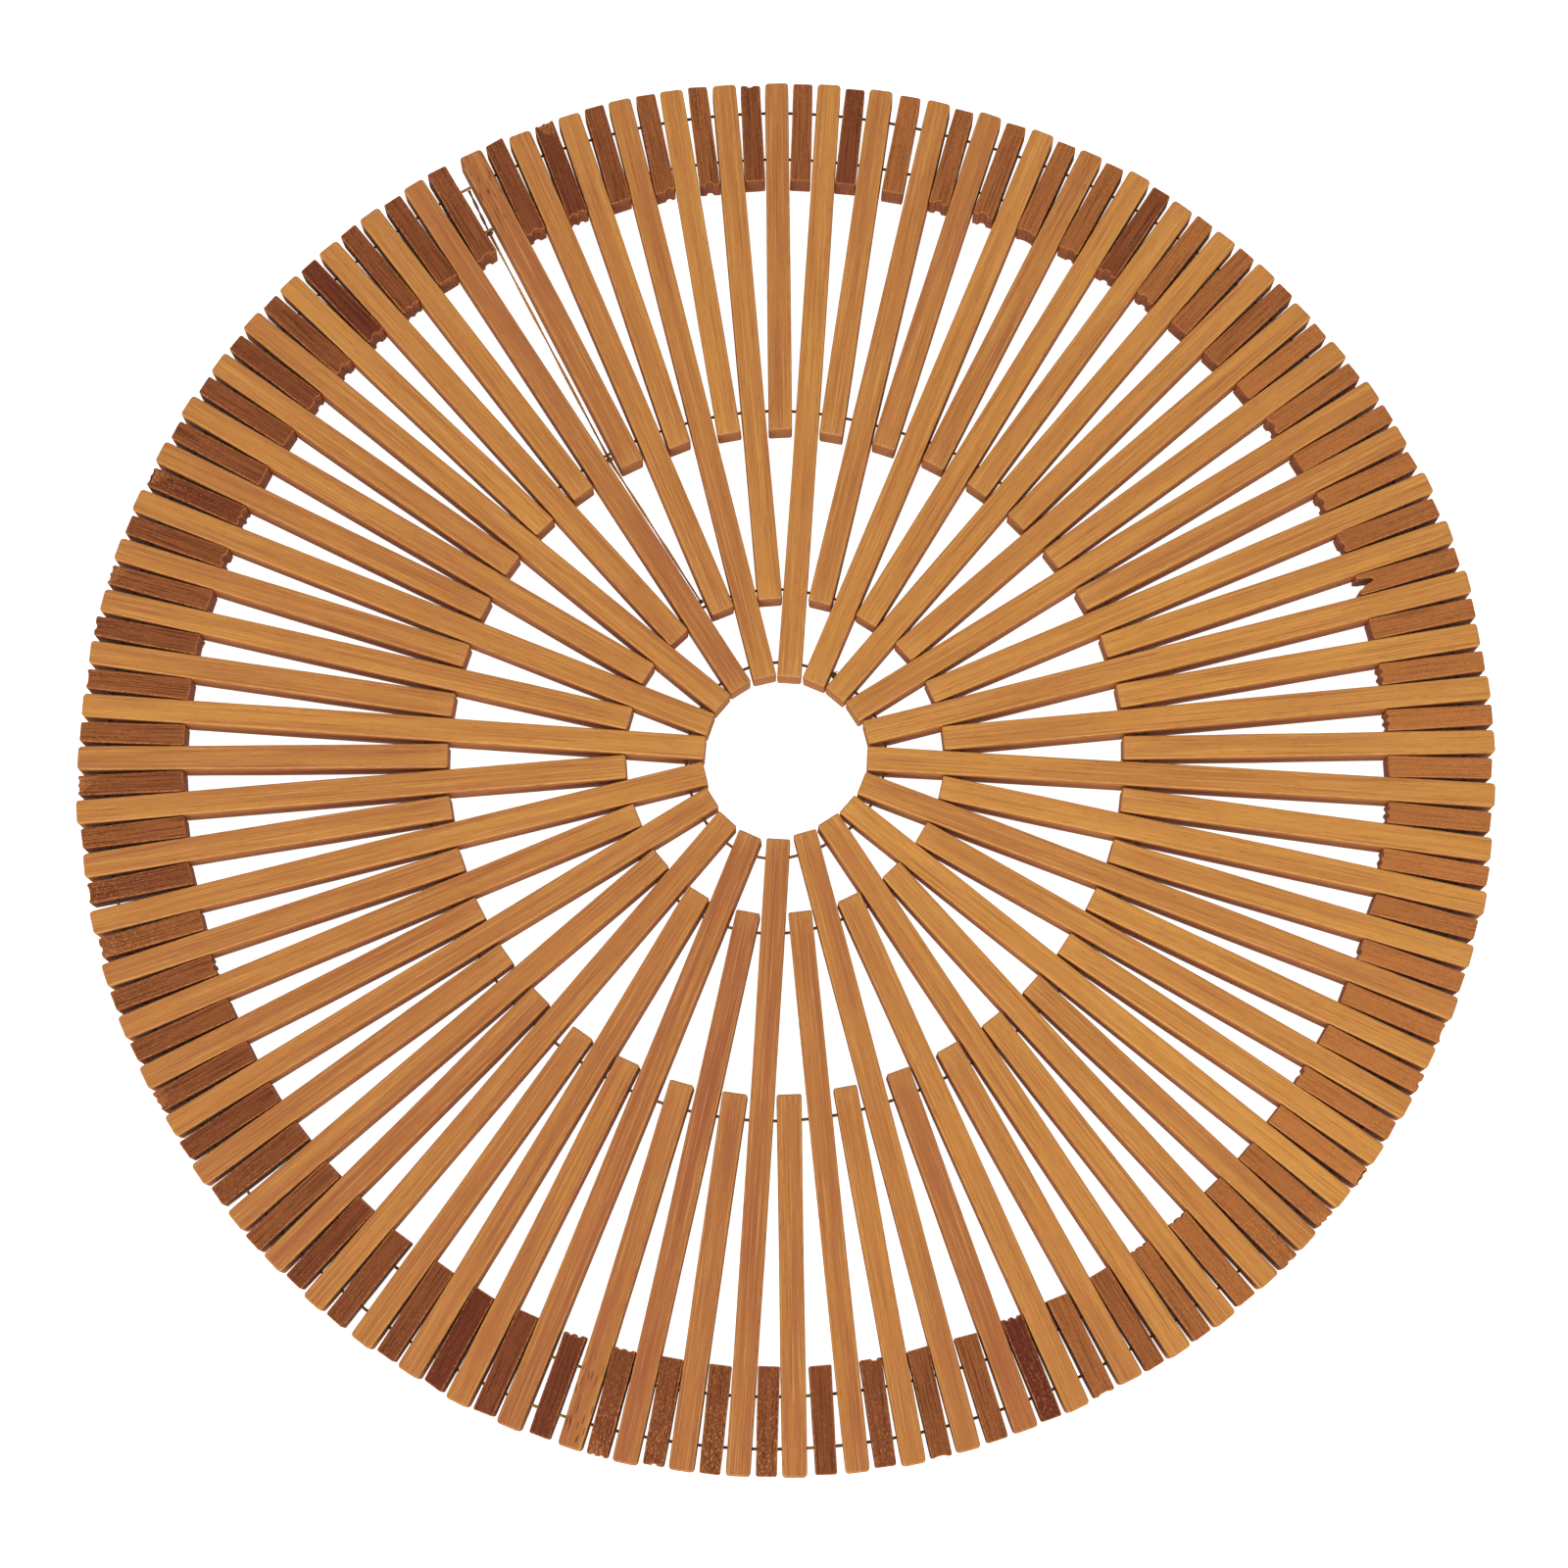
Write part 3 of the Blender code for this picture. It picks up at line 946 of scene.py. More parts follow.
@dataclass
class StickBlank:
    """One stick as it leaves the saw and plane. Every stick of its sort is copied from it.

    Args:
        name: name of the sort.
        length: length of the blank between its ends.
        width: width across.
        height: height.
        arris: rounding of the upper edges.
        arris_steps: facets of that rounding.
        foot: chamfer of the lower edges.
        corner: rounding of the upright corners at the rim end.
        corner_steps: facets of that rounding.
        inner_corner: chamfer of the upright corners at the inner end.
        cuts: number of cross sections between the ends, which let the stick waver.
        inner_cut: grooves in the inner end.
        outer_cut: grooves in the rim end.
        end_zone: length of each end that keeps its shape when a copy is stretched.
        slant: how far the saw strayed from square, in degrees.
        taper: share by which the inner end is wider than the rim end.
        bow: most that a stick of bow_length bends sideways.
        bow_length: length of the stick that the bow is given for.
        ripple: share by which the width wavers.
        waver: how far the top rises and falls.
        roll: most that the top leans over, in degrees.
        mesh: the finished blank.
    """

    name: str
    length: float
    width: float
    height: float
    arris: float
    arris_steps: int
    foot: float
    corner: float
    corner_steps: int
    inner_corner: float
    cuts: int
    inner_cut: EndCut = EndCut.FLAT
    outer_cut: EndCut = EndCut.FLAT
    end_zone: float = 6.5 * MM
    slant: float = 1.2
    taper: float = 0.0
    bow: float = 0.22 * MM
    bow_length: float = 170.0 * MM
    ripple: float = 0.012
    waver: float = 0.07 * MM
    roll: float = 1.3
    mesh: bpy.types.Mesh | None = None

    def build(self) -> None:
        """Model the blank and keep its mesh."""
        deselect_all()
        bpy.ops.mesh.primitive_cube_add(size=1.0)
        thing = bpy.context.object
        thing.name = self.name
        bpy.ops.object.mode_set(mode="EDIT")
        bpy.ops.mesh.select_all(action="SELECT")
        bpy.ops.transform.resize(value=(self.length, self.width, self.height))
        bpy.ops.transform.translate(value=(self.length / 2, 0.0, self.height / 2))
        self.round_upright_corners(thing)
        bpy.ops.object.mode_set(mode="OBJECT")
        for cut, side in ((self.inner_cut, 0.0), (self.outer_cut, self.length)):
            for across, reach, depth in cut.value:
                self.saw_groove(thing, side, across * MM, reach * MM, depth * MM)
        make_active(thing)
        bpy.ops.object.mode_set(mode="EDIT")
        self.round_rims(thing)
        self.add_sections()
        bpy.ops.mesh.select_all(action="SELECT")
        bpy.ops.mesh.remove_doubles(threshold=0.002 * MM)
        bpy.ops.mesh.normals_make_consistent(inside=False)
        bpy.ops.object.mode_set(mode="OBJECT")
        self.mesh = thing.data
        self.mark_edges()
        bpy.data.objects.remove(thing, do_unlink=True)
        LOG.info("blank %s: %d faces", self.name, len(self.mesh.polygons))

    def round_upright_corners(self, thing: bpy.types.Object) -> None:
        """Round the upright corners at the rim end and break those at the inner end.

        Args:
            thing: the blank, in edit mode.
        """
        def upright(edge: bmesh.types.BMEdge, place: float) -> bool:
            first, second = (vert.co for vert in edge.verts)
            flat = (first - second).xy.length < 0.01 * MM
            return flat and abs(first.x - place) < 0.01 * MM

        select_edges(thing, lambda edge: upright(edge, self.length))
        bpy.ops.mesh.bevel(offset=self.corner, segments=self.corner_steps, affect="EDGES")
        select_edges(thing, lambda edge: upright(edge, 0.0))
        bpy.ops.mesh.bevel(offset=self.inner_corner, segments=1, affect="EDGES")

    def saw_groove(
        self, thing: bpy.types.Object, side: float, across: float, reach: float, depth: float,
    ) -> None:
        """Cut one upright groove into an end.

        Args:
            thing: the blank.
            side: place of the end along the blank.
            across: place of the groove across it.
            reach: half the groove's width.
            depth: how deep it goes into the end.
        """
        deselect_all()
        bpy.ops.mesh.primitive_cylinder_add(vertices=12, radius=reach, depth=self.height * 2)
        cutter = bpy.context.object
        bpy.ops.object.mode_set(mode="EDIT")
        bpy.ops.mesh.select_all(action="SELECT")
        bpy.ops.transform.resize(value=(depth / reach, 1.0, 1.0))
        bpy.ops.transform.translate(value=(side, across, self.height / 2))
        bpy.ops.object.mode_set(mode="OBJECT")
        groove = thing.modifiers.new("groove", "BOOLEAN")
        groove.operation = "DIFFERENCE"
        groove.solver = "EXACT"
        groove.object = cutter
        apply_modifier(thing, groove)
        bpy.data.objects.remove(cutter, do_unlink=True)

    def round_rims(self, thing: bpy.types.Object) -> None:
        """Round the upper rim and chamfer the lower one.

        Args:
            thing: the blank, in edit mode.
        """
        def rim(edge: bmesh.types.BMEdge, height: float) -> bool:
            level = all(abs(vert.co.z - height) < 0.01 * MM for vert in edge.verts)
            faces = [abs(face.normal.z) > 0.9 for face in edge.link_faces]
            return level and any(faces) and not all(faces)

        select_edges(thing, lambda edge: rim(edge, self.height))
        bpy.ops.mesh.bevel(offset=self.arris, segments=self.arris_steps, affect="EDGES")
        select_edges(thing, lambda edge: rim(edge, 0.0))
        bpy.ops.mesh.bevel(offset=self.foot, segments=1, affect="EDGES")

    def add_sections(self) -> None:
        """Cut the blank across, so that its copies can waver along their length."""
        reach = self.length - 2 * self.end_zone
        for step in range(self.cuts):
            place = self.end_zone + reach * step / (self.cuts - 1)
            bpy.ops.mesh.select_all(action="SELECT")
            bpy.ops.mesh.bisect(plane_co=(place, 0.0, 0.0), plane_no=(1.0, 0.0, 0.0))

    def mark_edges(self) -> None:
        """Write which vertices are on a rounded edge and which on end grain."""
        normals = np.array([tuple(vert.normal) for vert in self.mesh.vertices])
        lift = np.abs(normals[:, 2])
        arris = np.clip((lift - 0.12) / 0.2, 0, 1) * np.clip((0.97 - lift) / 0.05, 0, 1)
        along = points_of(self.mesh)[:, 0]
        near_end = (along < self.end_zone * 0.95) | (along > self.length - self.end_zone * 0.95)
        ends = np.clip((np.abs(normals[:, 0]) - 0.45) / 0.35, 0, 1) * near_end
        write_points(self.mesh, "arris", "FLOAT", arris)
        write_points(self.mesh, "end_grain", "FLOAT", ends)

    def copy_for(
        self, stick: Stick, tone: float, flecked: float, mirrored: bool, out_of_round: float,
    ) -> bpy.types.Object:
        """Make one stick from the blank: stretched to size, a little uneven and in its place.

        Args:
            stick: the stick's sizes and place.
            tone: how pale it is, from nought to one.
            flecked: how strongly its flecks show.
            mirrored: whether the blank is turned the other way round across.
            out_of_round: how far the stick and its holes stand out of the mat's circle.

        Returns:
            The new object, with a mesh of its own.
        """
        mesh = self.mesh.copy()
        mesh.name = f"{self.name}_{stick.number:02d}"
        draw = random.Random(f"{stick.kind.value} {stick.number}")
        along, across, up = points_of(mesh).T
        if mirrored:
            across = -across
            mesh.flip_normals()
        length = stick.outer - stick.inner
        share = np.clip((along - self.end_zone) / (self.length - 2 * self.end_zone), 0, 1)
        slants = [math.tan(math.radians(draw.gauss(0, self.slant))) for _ in range(2)]
        near = np.clip(1 - along / self.end_zone, 0, 1)
        far = np.clip(1 - (self.length - along) / self.end_zone, 0, 1)
        along = along + across * (near * slants[0] + far * slants[1])
        along = along + share * (length - self.length)
        across = across * stick.width / self.width
        offset = (draw.uniform(0, 9), draw.uniform(0, 9), 0.0)
        grain = np.stack((along, across, up), axis=1) + np.array(offset)
        write_points(mesh, "grain", "FLOAT_VECTOR", grain)
        write_points(mesh, "tone", "FLOAT", np.full(len(along), tone))
        write_points(mesh, "flecked", "FLOAT", np.full(len(along), flecked))

        run = along / length
        across = across * (1 + self.taper * np.clip(1 - run, 0, 1))
        bow = draw.uniform(-self.bow, self.bow) * length / self.bow_length
        ripple = np.sin(2 * math.pi * (run * draw.uniform(1.2, 2.6) + draw.random())) * self.ripple
        waver = np.sin(2 * math.pi * (run * draw.uniform(1.0, 2.2) + draw.random())) * self.waver
        roll = math.radians(draw.uniform(-self.roll, self.roll))
        high = up > self.height / 2
        up = up + np.where(high, waver + across * math.tan(roll) - self.waver, 0.0)
        across = across * (1 + ripple) + bow * np.sin(math.pi * run)
        across = across + (up - self.height / 2) * math.tan(roll)

        turn = math.radians(stick.angle)
        reach = along + stick.inner
        write_points(mesh, "true_radius", "FLOAT", reach - out_of_round)
        placed = np.stack((
            reach * math.cos(turn) - across * math.sin(turn),
            reach * math.sin(turn) + across * math.cos(turn),
            up,
        ), axis=1)
        mesh.vertices.foreach_set("co", placed.astype(np.float32).ravel())
        mesh.update()
        thing = bpy.data.objects.new(mesh.name, mesh)
        bpy.context.scene.collection.objects.link(thing)
        return thing


@dataclass
class StickTones:
    """How pale each stick is: paler to one side of the mat, darker to another, by direction.

    Args:
        round_long: direction in degrees and paleness of the long sticks there.
        round_short: direction in degrees and paleness of the short sticks there.
        dark_long: long sticks of a redder strip, with their paleness.
        dark_short: short sticks of a darker strip, with their paleness.
        flecked: long sticks with dark flecks, by how strongly they show.
        speckled: short sticks with golden specks, by how strongly they show.
        spread: how much neighbours differ.
    """

    round_long: tuple[tuple[float, float], ...] = (
        (0, 0.82), (60, 0.66), (120, 0.54), (180, 0.64), (225, 0.46), (245, 0.34), (270, 0.34),
        (290, 0.50), (320, 0.82), (360, 0.82),
    )
    round_short: tuple[tuple[float, float], ...] = (
        (0, 0.80), (50, 0.74), (80, 0.50), (110, 0.36), (150, 0.30), (180, 0.42), (235, 0.20),
        (265, 0.20), (290, 0.45), (325, 0.92), (360, 0.80),
    )
    dark_long: dict[int, float] = field(default_factory=lambda: {
        14: 0.42, 16: 0.40, 20: 0.44, 26: 0.30, 27: 0.30, 46: 0.44, 50: 0.30, 53: 0.36,
        55: 0.24, 57: 0.10, 58: 0.26, 61: 0.36, 64: 0.28,
    })
    dark_short: dict[int, float] = field(default_factory=lambda: {
        12: 0.26, 18: 0.18, 24: 0.12, 29: 0.06, 34: 0.12, 53: 0.04, 55: 0.10, 64: 0.0,
    })
    flecked: dict[int, float] = field(default_factory=lambda: {26: 0.8, 56: 1.0, 14: 0.35})
    speckled: dict[int, float] = field(default_factory=lambda: {
        34: 0.40, 42: 0.50, 43: 0.75, 44: 0.35, 48: 0.40, 56: 0.65, 57: 0.90, 58: 0.95, 59: 0.80,
        61: 0.45, 64: 0.45, 69: 0.60, 70: 0.35,
    })
    spread: float = 0.07

    def tone(self, stick: Stick) -> float:
        """Work out how pale a stick is.

        Args:
            stick: the stick.

        Returns:
            The paleness, from nought to one.
        """
        short = stick.kind is StickKind.SHORT
        special = self.dark_short if short else self.dark_long
        if stick.number in special:
            return special[stick.number]
        table = self.round_short if short else self.round_long
        angles = [row[0] for row in table]
        tones = [row[1] for row in table]
        draw = random.Random(f"tone {stick.kind.value} {stick.number}")
        return float(np.interp(stick.angle % 360, angles, tones)) + draw.gauss(0, self.spread)

    def plain_specks(self, tone: float) -> float:
        """Return how strongly golden specks show on a usual short stick of a paleness."""
        return 0.12 + 0.3 * tone


@dataclass
class StickRing:
    """All the sticks, fan by fan: eight sticks in two pieces, the long ones and the short ones.

    Args:
        layout: where the sticks lie.
        long_finish: finish of the long sticks.
        short_finish: finish of the short sticks.
        tones: how pale each stick is.
        long_length: length of the long sticks' blank.
        short_length: length of the short sticks' blanks.
        inner_cuts: numbers of the short sticks by the cut of their inner end.
        outer_cuts: the same for their rim end.
        turned_round: short sticks whose grooves lie on the other side.
        blanks: the short sticks' blanks made so far, by the cuts of their ends.
    """

    layout: MatLayout
    long_finish: PlanedBamboo
    short_finish: SawnBamboo
    tones: StickTones = field(default_factory=StickTones)
    long_length: float = 100.0 * MM
    short_length: float = 28.0 * MM
    inner_cuts: dict[EndCut, tuple[int, ...]] = field(default_factory=lambda: {
        EndCut.GROOVE: (5, 7, 11, 12, 15, 16, 21, 25, 26, 29, 30, 35),
        EndCut.SIDE: (4, 13, 22, 31, 61, 72, 75),
        EndCut.TWIN: (0, 1, 24, 34, 44, 55, 64, 78),
        EndCut.RAGGED: (28, 56, 67, 68, 77),
        EndCut.ARCH: (14, 37),
        EndCut.SPLIT: (3,),
    })
    outer_cuts: dict[EndCut, tuple[int, ...]] = field(default_factory=lambda: {
        EndCut.NICK: (20, 37, 43, 57, 69, 73),
        EndCut.ARCH: (38, 42, 62, 65, 74),
        EndCut.RAGGED: (24, 34, 36, 40, 46, 56, 70, 71),
    })
    turned_round: tuple[int, ...] = (0, 24, 61, 72, 78)
    blanks: dict[tuple[EndCut, EndCut], StickBlank] = field(default_factory=dict)

    def long_blank(self) -> StickBlank:
        """Return a new blank for the long sticks."""
        return StickBlank(
            "long_blank", self.long_length, self.layout.long_width, self.layout.height,
            arris=0.6 * MM, arris_steps=2, foot=0.4 * MM, corner=1.0 * MM, corner_steps=3,
            inner_corner=0.35 * MM, cuts=7,
        )

    def short_blank(self, inner_cut: EndCut, outer_cut: EndCut) -> StickBlank:
        """Return the blank for one sort of short stick. It is made when first asked for."""
        key = (inner_cut, outer_cut)
        if key not in self.blanks:
            name = f"short_blank_{inner_cut.name}_{outer_cut.name}".lower()
            self.blanks[key] = StickBlank(
                name, self.short_length, self.layout.short_width, self.layout.height,
                arris=0.4 * MM, arris_steps=2, foot=0.3 * MM, corner=0.55 * MM, corner_steps=2,
                inner_corner=0.25 * MM, cuts=3, inner_cut=inner_cut, outer_cut=outer_cut,
                slant=2.4, taper=0.06,
            )
            self.blanks[key].build()
        return self.blanks[key]

    def end_cut(self, stick: Stick, cuts: dict[EndCut, tuple[int, ...]]) -> EndCut:
        """Look up how an end of a short stick was sawn.

        Args:
            stick: the short stick.
            cuts: numbers of the sticks by cut. All others are flat.

        Returns:
            The cut.
        """
        for cut, numbers in cuts.items():
            if stick.number in numbers:
                return cut
        return EndCut.FLAT

    def build(self) -> None:
        """Make every fan and dress it."""
        planed = self.long_finish.material(self.layout)
        sawn = self.short_finish.material(self.layout)
        long_blank = self.long_blank()
        long_blank.build()
        sticks = self.layout.all_sticks()
        share = len(sticks) // self.layout.fans
        for fan in range(self.layout.fans):
            node = f"fan_{fan + 1:02d}"
            long_ones = []
            short_ones = []
            for stick in sticks[fan * share:(fan + 1) * share]:
                if stick.kind is StickKind.SHORT:
                    short_ones.append(self.copy_short(stick))
                else:
                    long_ones.append(self.copy_long(stick, long_blank))
            for pieces, name, material, slot in (
                (long_ones, f"{node}_long_sticks", planed, "long_bamboo"),
                (short_ones, f"{node}_short_sticks", sawn, "short_bamboo"),
            ):
                piece = join(pieces, name)
                self.smooth(piece)
                hand_over(piece, material, slot, node)

    def copy_short(self, stick: Stick) -> bpy.types.Object:
        """Copy the blank with the right ends for one short stick."""
        tone = self.tones.tone(stick)
        speckled = self.tones.speckled.get(stick.number, self.tones.plain_specks(tone))
        inner = self.end_cut(stick, self.inner_cuts)
        outer = self.end_cut(stick, self.outer_cuts)
        out = self.layout.stands_out(stick.angle)
        mirrored = stick.number in self.turned_round
        return self.short_blank(inner, outer).copy_for(stick, tone, speckled, mirrored, out)

    def copy_long(self, stick: Stick, blank: StickBlank) -> bpy.types.Object:
        """Copy the long blank for one long stick."""
        tone = self.tones.tone(stick)
        flecked = self.tones.flecked.get(stick.number, 0.0)
        out = self.layout.stands_out(stick.angle)
        return blank.copy_for(stick, tone, flecked, False, out)

    def smooth(self, piece: bpy.types.Object) -> None:
        """Shade the rounded edges smooth and keep the planed faces flat."""
        make_active(piece)
        bpy.ops.object.shade_smooth_by_angle(angle=math.radians(50))
        weighted = piece.modifiers.new("weighted", "WEIGHTED_NORMAL")
        weighted.keep_sharp = True
        apply_modifier(piece, weighted)


@dataclass
class Thread:
    """A length of thread along a path.

    Args:
        name: name of the piece.
        path: points that the thread follows.
        thickness: its diameter.
        closed: whether the path closes on itself.
        sides: facets round the thread, an even number from four.
    """

    name: str
    path: list[Vector]
    thickness: float
    closed: bool = False
    sides: int = 8

    def build(self, tone: Callable[[Vector], float]) -> bpy.types.Object:
        """Make the thread as a closed tube.

        Args:
            tone: how pale the thread is at a place, from nought to one.

        Returns:
            The new object.
        """
        deselect_all()
        curve = bpy.data.curves.new(self.name, "CURVE")
        curve.dimensions = "3D"
        curve.bevel_depth = self.thickness / 2
        curve.bevel_resolution = (self.sides - 4) // 2
        curve.use_fill_caps = not self.closed
        spline = curve.splines.new("POLY")
        spline.points.add(len(self.path) - 1)
        for point, place in zip(spline.points, self.path):
            point.co = (*place, 1.0)
        spline.use_cyclic_u = self.closed
        thing = bpy.data.objects.new(self.name, curve)
        bpy.context.scene.collection.objects.link(thing)
        make_active(thing)
        bpy.ops.object.convert(target="MESH")
        thing = bpy.context.object
        bpy.ops.object.mode_set(mode="EDIT")
        bpy.ops.mesh.select_all(action="SELECT")
        bpy.ops.mesh.remove_doubles(threshold=0.002 * MM)
        bpy.ops.mesh.normals_make_consistent(inside=False)
        bpy.ops.object.mode_set(mode="OBJECT")
        bpy.ops.object.shade_smooth_by_angle(angle=math.radians(70))
        write_lay(thing.data, self.path, self.closed)
        tones = [tone(vert.co) for vert in thing.data.vertices]
        write_points(thing.data, "tone", "FLOAT", np.array(tones))
        return thing


def write_lay(mesh: bpy.types.Mesh, path: list[Vector], closed: bool) -> None:
    """Write where each vertex lies along and round the thread, for its twist.

    Args:
        mesh: the thread's mesh.
        path: points that the thread follows.
        closed: whether the path closes on itself.
    """
    corners = np.array([tuple(point) for point in path])
    if closed:
        corners = np.vstack((corners, corners[:1]))
    starts = corners[:-1]
    steps = corners[1:] - starts
    lengths = np.linalg.norm(steps, axis=1)
    begun = np.concatenate(([0.0], np.cumsum(lengths)[:-1]))
    rows = []
    for place in points_of(mesh):
        share = np.clip(((place - starts) * steps).sum(axis=1) / lengths ** 2, 0, 1)
        feet = starts + share[:, None] * steps
        away = place - feet
        best = int(np.argmin((away ** 2).sum(axis=1)))
        side = np.cross(steps[best], (0.0, 0.0, 1.0))
        side /= max(np.linalg.norm(side), 1e-9)
        size = max(np.linalg.norm(away[best]), 1e-9)
        rows.append((
            begun[best] + share[best] * lengths[best],
            away[best][2] / size,
            float(away[best] @ side) / size,
        ))
    write_points(mesh, "lay", "FLOAT_VECTOR", np.array(rows))


@dataclass
class RingThreads:
    """The five rings of thread that the sticks are strung on.

    Args:
        layout: where the rings run.
        finish: the thread's material.
        thickness: the thread's diameter.
        sag: how far it sags between two sticks.
        golden_gaps: directions of the gaps with golden thread, in degrees.
        golden_reach: how far from them it is golden, in degrees.
    """

    layout: MatLayout
    finish: bpy.types.Material
    thickness: float = 0.8 * MM
    sag: float = 0.12 * MM
    golden_gaps: tuple[float, ...] = (119.8, 193.0, 218.5, 250.5, 272.5)
    golden_reach: float = 1.4

    def tone(self, ring: str) -> Callable[[Vector], float]:
        """Say how pale a ring's thread is by direction.

        Args:
            ring: name of the ring.

        Returns:
            A function that gives the paleness at a place.
        """
        def at(place: Vector) -> float:
            angle = math.degrees(math.atan2(place.y, place.x)) % 360
            if ring in ("middle", "inner", "hub"):
                return 0.35
            near = min(abs(angle - gap) for gap in self.golden_gaps)
            return 0.95 if near < self.golden_reach else 0.18

        return at

    def build(self) -> None:
        """Make the rings."""
        sticks = self.layout.all_sticks()
        fans = [f"fan_{fan + 1:02d}" for fan in range(self.layout.fans)]
        for ring in self.layout.rings:
            crossed = [
                stick for stick in sticks
                if stick.inner < self.layout.ring_radius(ring, stick.angle)
            ]
            path = []
            for stick, following in zip(crossed, crossed[1:] + crossed[:1]):
                here, there = (
                    spot(
                        self.layout.ring_radius(ring, one.angle), one.angle,
                        self.layout.thread_height,
                    )
                    for one in (stick, following)
                )
                path.append(here)
                path.append((here + there) / 2 - Vector((0.0, 0.0, self.sag)))
            thread = Thread(f"{ring}_thread", path, self.thickness, closed=True)
            piece = thread.build(self.tone(ring))
            hand_over(piece, self.finish, "thread", *fans)


@dataclass
class Knot:
    """A tight overhand knot: loops of thread drawn over each other, with two cut tails.

    Args:
        centre: middle of the knot.
        along: direction of the thread that it is tied on.
        size: radius of the knot.
        tone: how pale its thread is.
    """

    centre: Vector
    along: Vector
    size: float
    tone: float

    def build(self, name: str) -> bpy.types.Object:
        """Make the knot.

        Args:
            name: name of the object.

        Returns:
            The new object.
        """
        loops = []
        thick = self.size * 0.34
        across = self.along.cross(Vector((0.0, 0.0, 1.0))).normalized()
        turns = ((0.0, -0.45), (0.9, 0.0), (-0.7, 0.45))
        for tilt, shift in turns:
            middle = self.centre + self.along.normalized() * shift * self.size
            facing = Matrix.Rotation(tilt, 3, across) @ self.along.normalized()
            first = facing.orthogonal().normalized()
            second = facing.cross(first)
            ring = [
                middle + (first * math.cos(turn) + second * math.sin(turn)) * self.size * 0.64
                for turn in (2 * math.pi * step / 12 for step in range(12))
            ]
            loops.append(Thread(f"{name}_loop", ring, thick * 2, True, 6).build(self.pale))
        for way in (-1.0, 1.0):
            tail = [
                self.centre,
                self.centre + (across * way * 0.9 + self.along.normalized() * 0.5) * self.size,
                self.centre + (across * way * 1.5 - self.along.normalized() * 0.6
                               + Vector((0.0, 0.0, 0.4))) * self.size,
            ]
            loops.append(Thread(f"{name}_tail", tail, thick * 1.3, False, 6).build(self.pale))
        return join(loops, name)

    def pale(self, place: Vector) -> float:
        """Return the same paleness at every place."""
        return self.tone


@dataclass
class TieThread:
    """The thread that is taken down from ring to ring in the widest gap, and its knots.

    Args:
        layout: where the sticks and rings lie.
        finish: the thread's material.
        after: number of the long stick before the gap.
        height: height of the tie above the table.
        strand: diameter of one of its two strands.
        strand_swing: how far each strand swings about the middle.
        route: corners of the tie, as radius, share across the gap and radius of the knot there.
        hub_after: number of the full stick beside the hub ring's knot.
        hub_knot: radius of that knot.
    """

    layout: MatLayout
    finish: bpy.types.Material
    after: int = 26
    height: float = 3.55 * MM
    strand: float = 0.42 * MM
    strand_swing: float = 0.24 * MM
    route: tuple[tuple[float, float, float], ...] = (
        (181.8 * MM, 0.30, 0.0),
        (168.2 * MM, 0.50, 0.85 * MM),
        (95.6 * MM, 0.50, 0.80 * MM),
        (48.8 * MM, 0.50, 0.65 * MM),
    )
    hub_after: int = 11
    hub_knot: float = 0.75 * MM

    def build(self) -> None:
        """Make the two strands of the tie, its knots and the knot of the hub ring."""
        out = self.layout.stands_out(self.layout.long_angle(self.after))
        corners = [
            spot(radius + out, self.layout.gap_angle(self.after, radius, across), self.height)
            for radius, across, _ in self.route
        ]
        pieces = []
        for strand, offset in enumerate((-self.strand_swing, self.strand_swing)):
            path = []
            for first, second in zip(corners, corners[1:]):
                line = second - first
                side = line.cross(Vector((0.0, 0.0, 1.0))).normalized()
                steps = 8
                for step in range(steps):
                    share = step / steps
                    swing = offset * math.cos(2 * math.pi * 1.5 * share)
                    path.append(first + line * share + side * swing)
            path.append(corners[-1])
            strand_thread = Thread(f"tie_strand_{strand}", path, self.strand, False, 6)
            pieces.append(strand_thread.build(self.pale))
        for number, (corner, (_, _, size)) in enumerate(zip(corners, self.route)):
            if size:
                along = corners[1] - corners[0]
                pieces.append(Knot(corner, along, size, 0.5).build(f"tie_knot_{number}"))
        tie = join(pieces, "tie_thread_and_knots")
        hand_over(tie, self.finish, "thread", "tie_thread")
        self.close_hub_ring()

    def pale(self, place: Vector) -> float:
        """Say how pale the tie is: reddish from the rim to the shoulder, golden below it."""
        return 0.50 if place.length > self.route[1][0] else 1.0

    def close_hub_ring(self) -> None:
        """Make the knot that closes the hub ring, beside one full stick."""
        stick = self.layout.long_stick(self.hub_after)
        radius = self.layout.ring_radius("hub", stick.angle)
        beside = math.degrees((stick.width / 2 + self.hub_knot * 1.1) / radius)
        centre = spot(radius, stick.angle + beside, self.layout.thread_height)
        along = Vector((-centre.y, centre.x, 0.0))
        knot = Knot(centre, along, self.hub_knot, 0.25).build("hub_knot")
        hand_over(knot, self.finish, "thread", "fan_03")


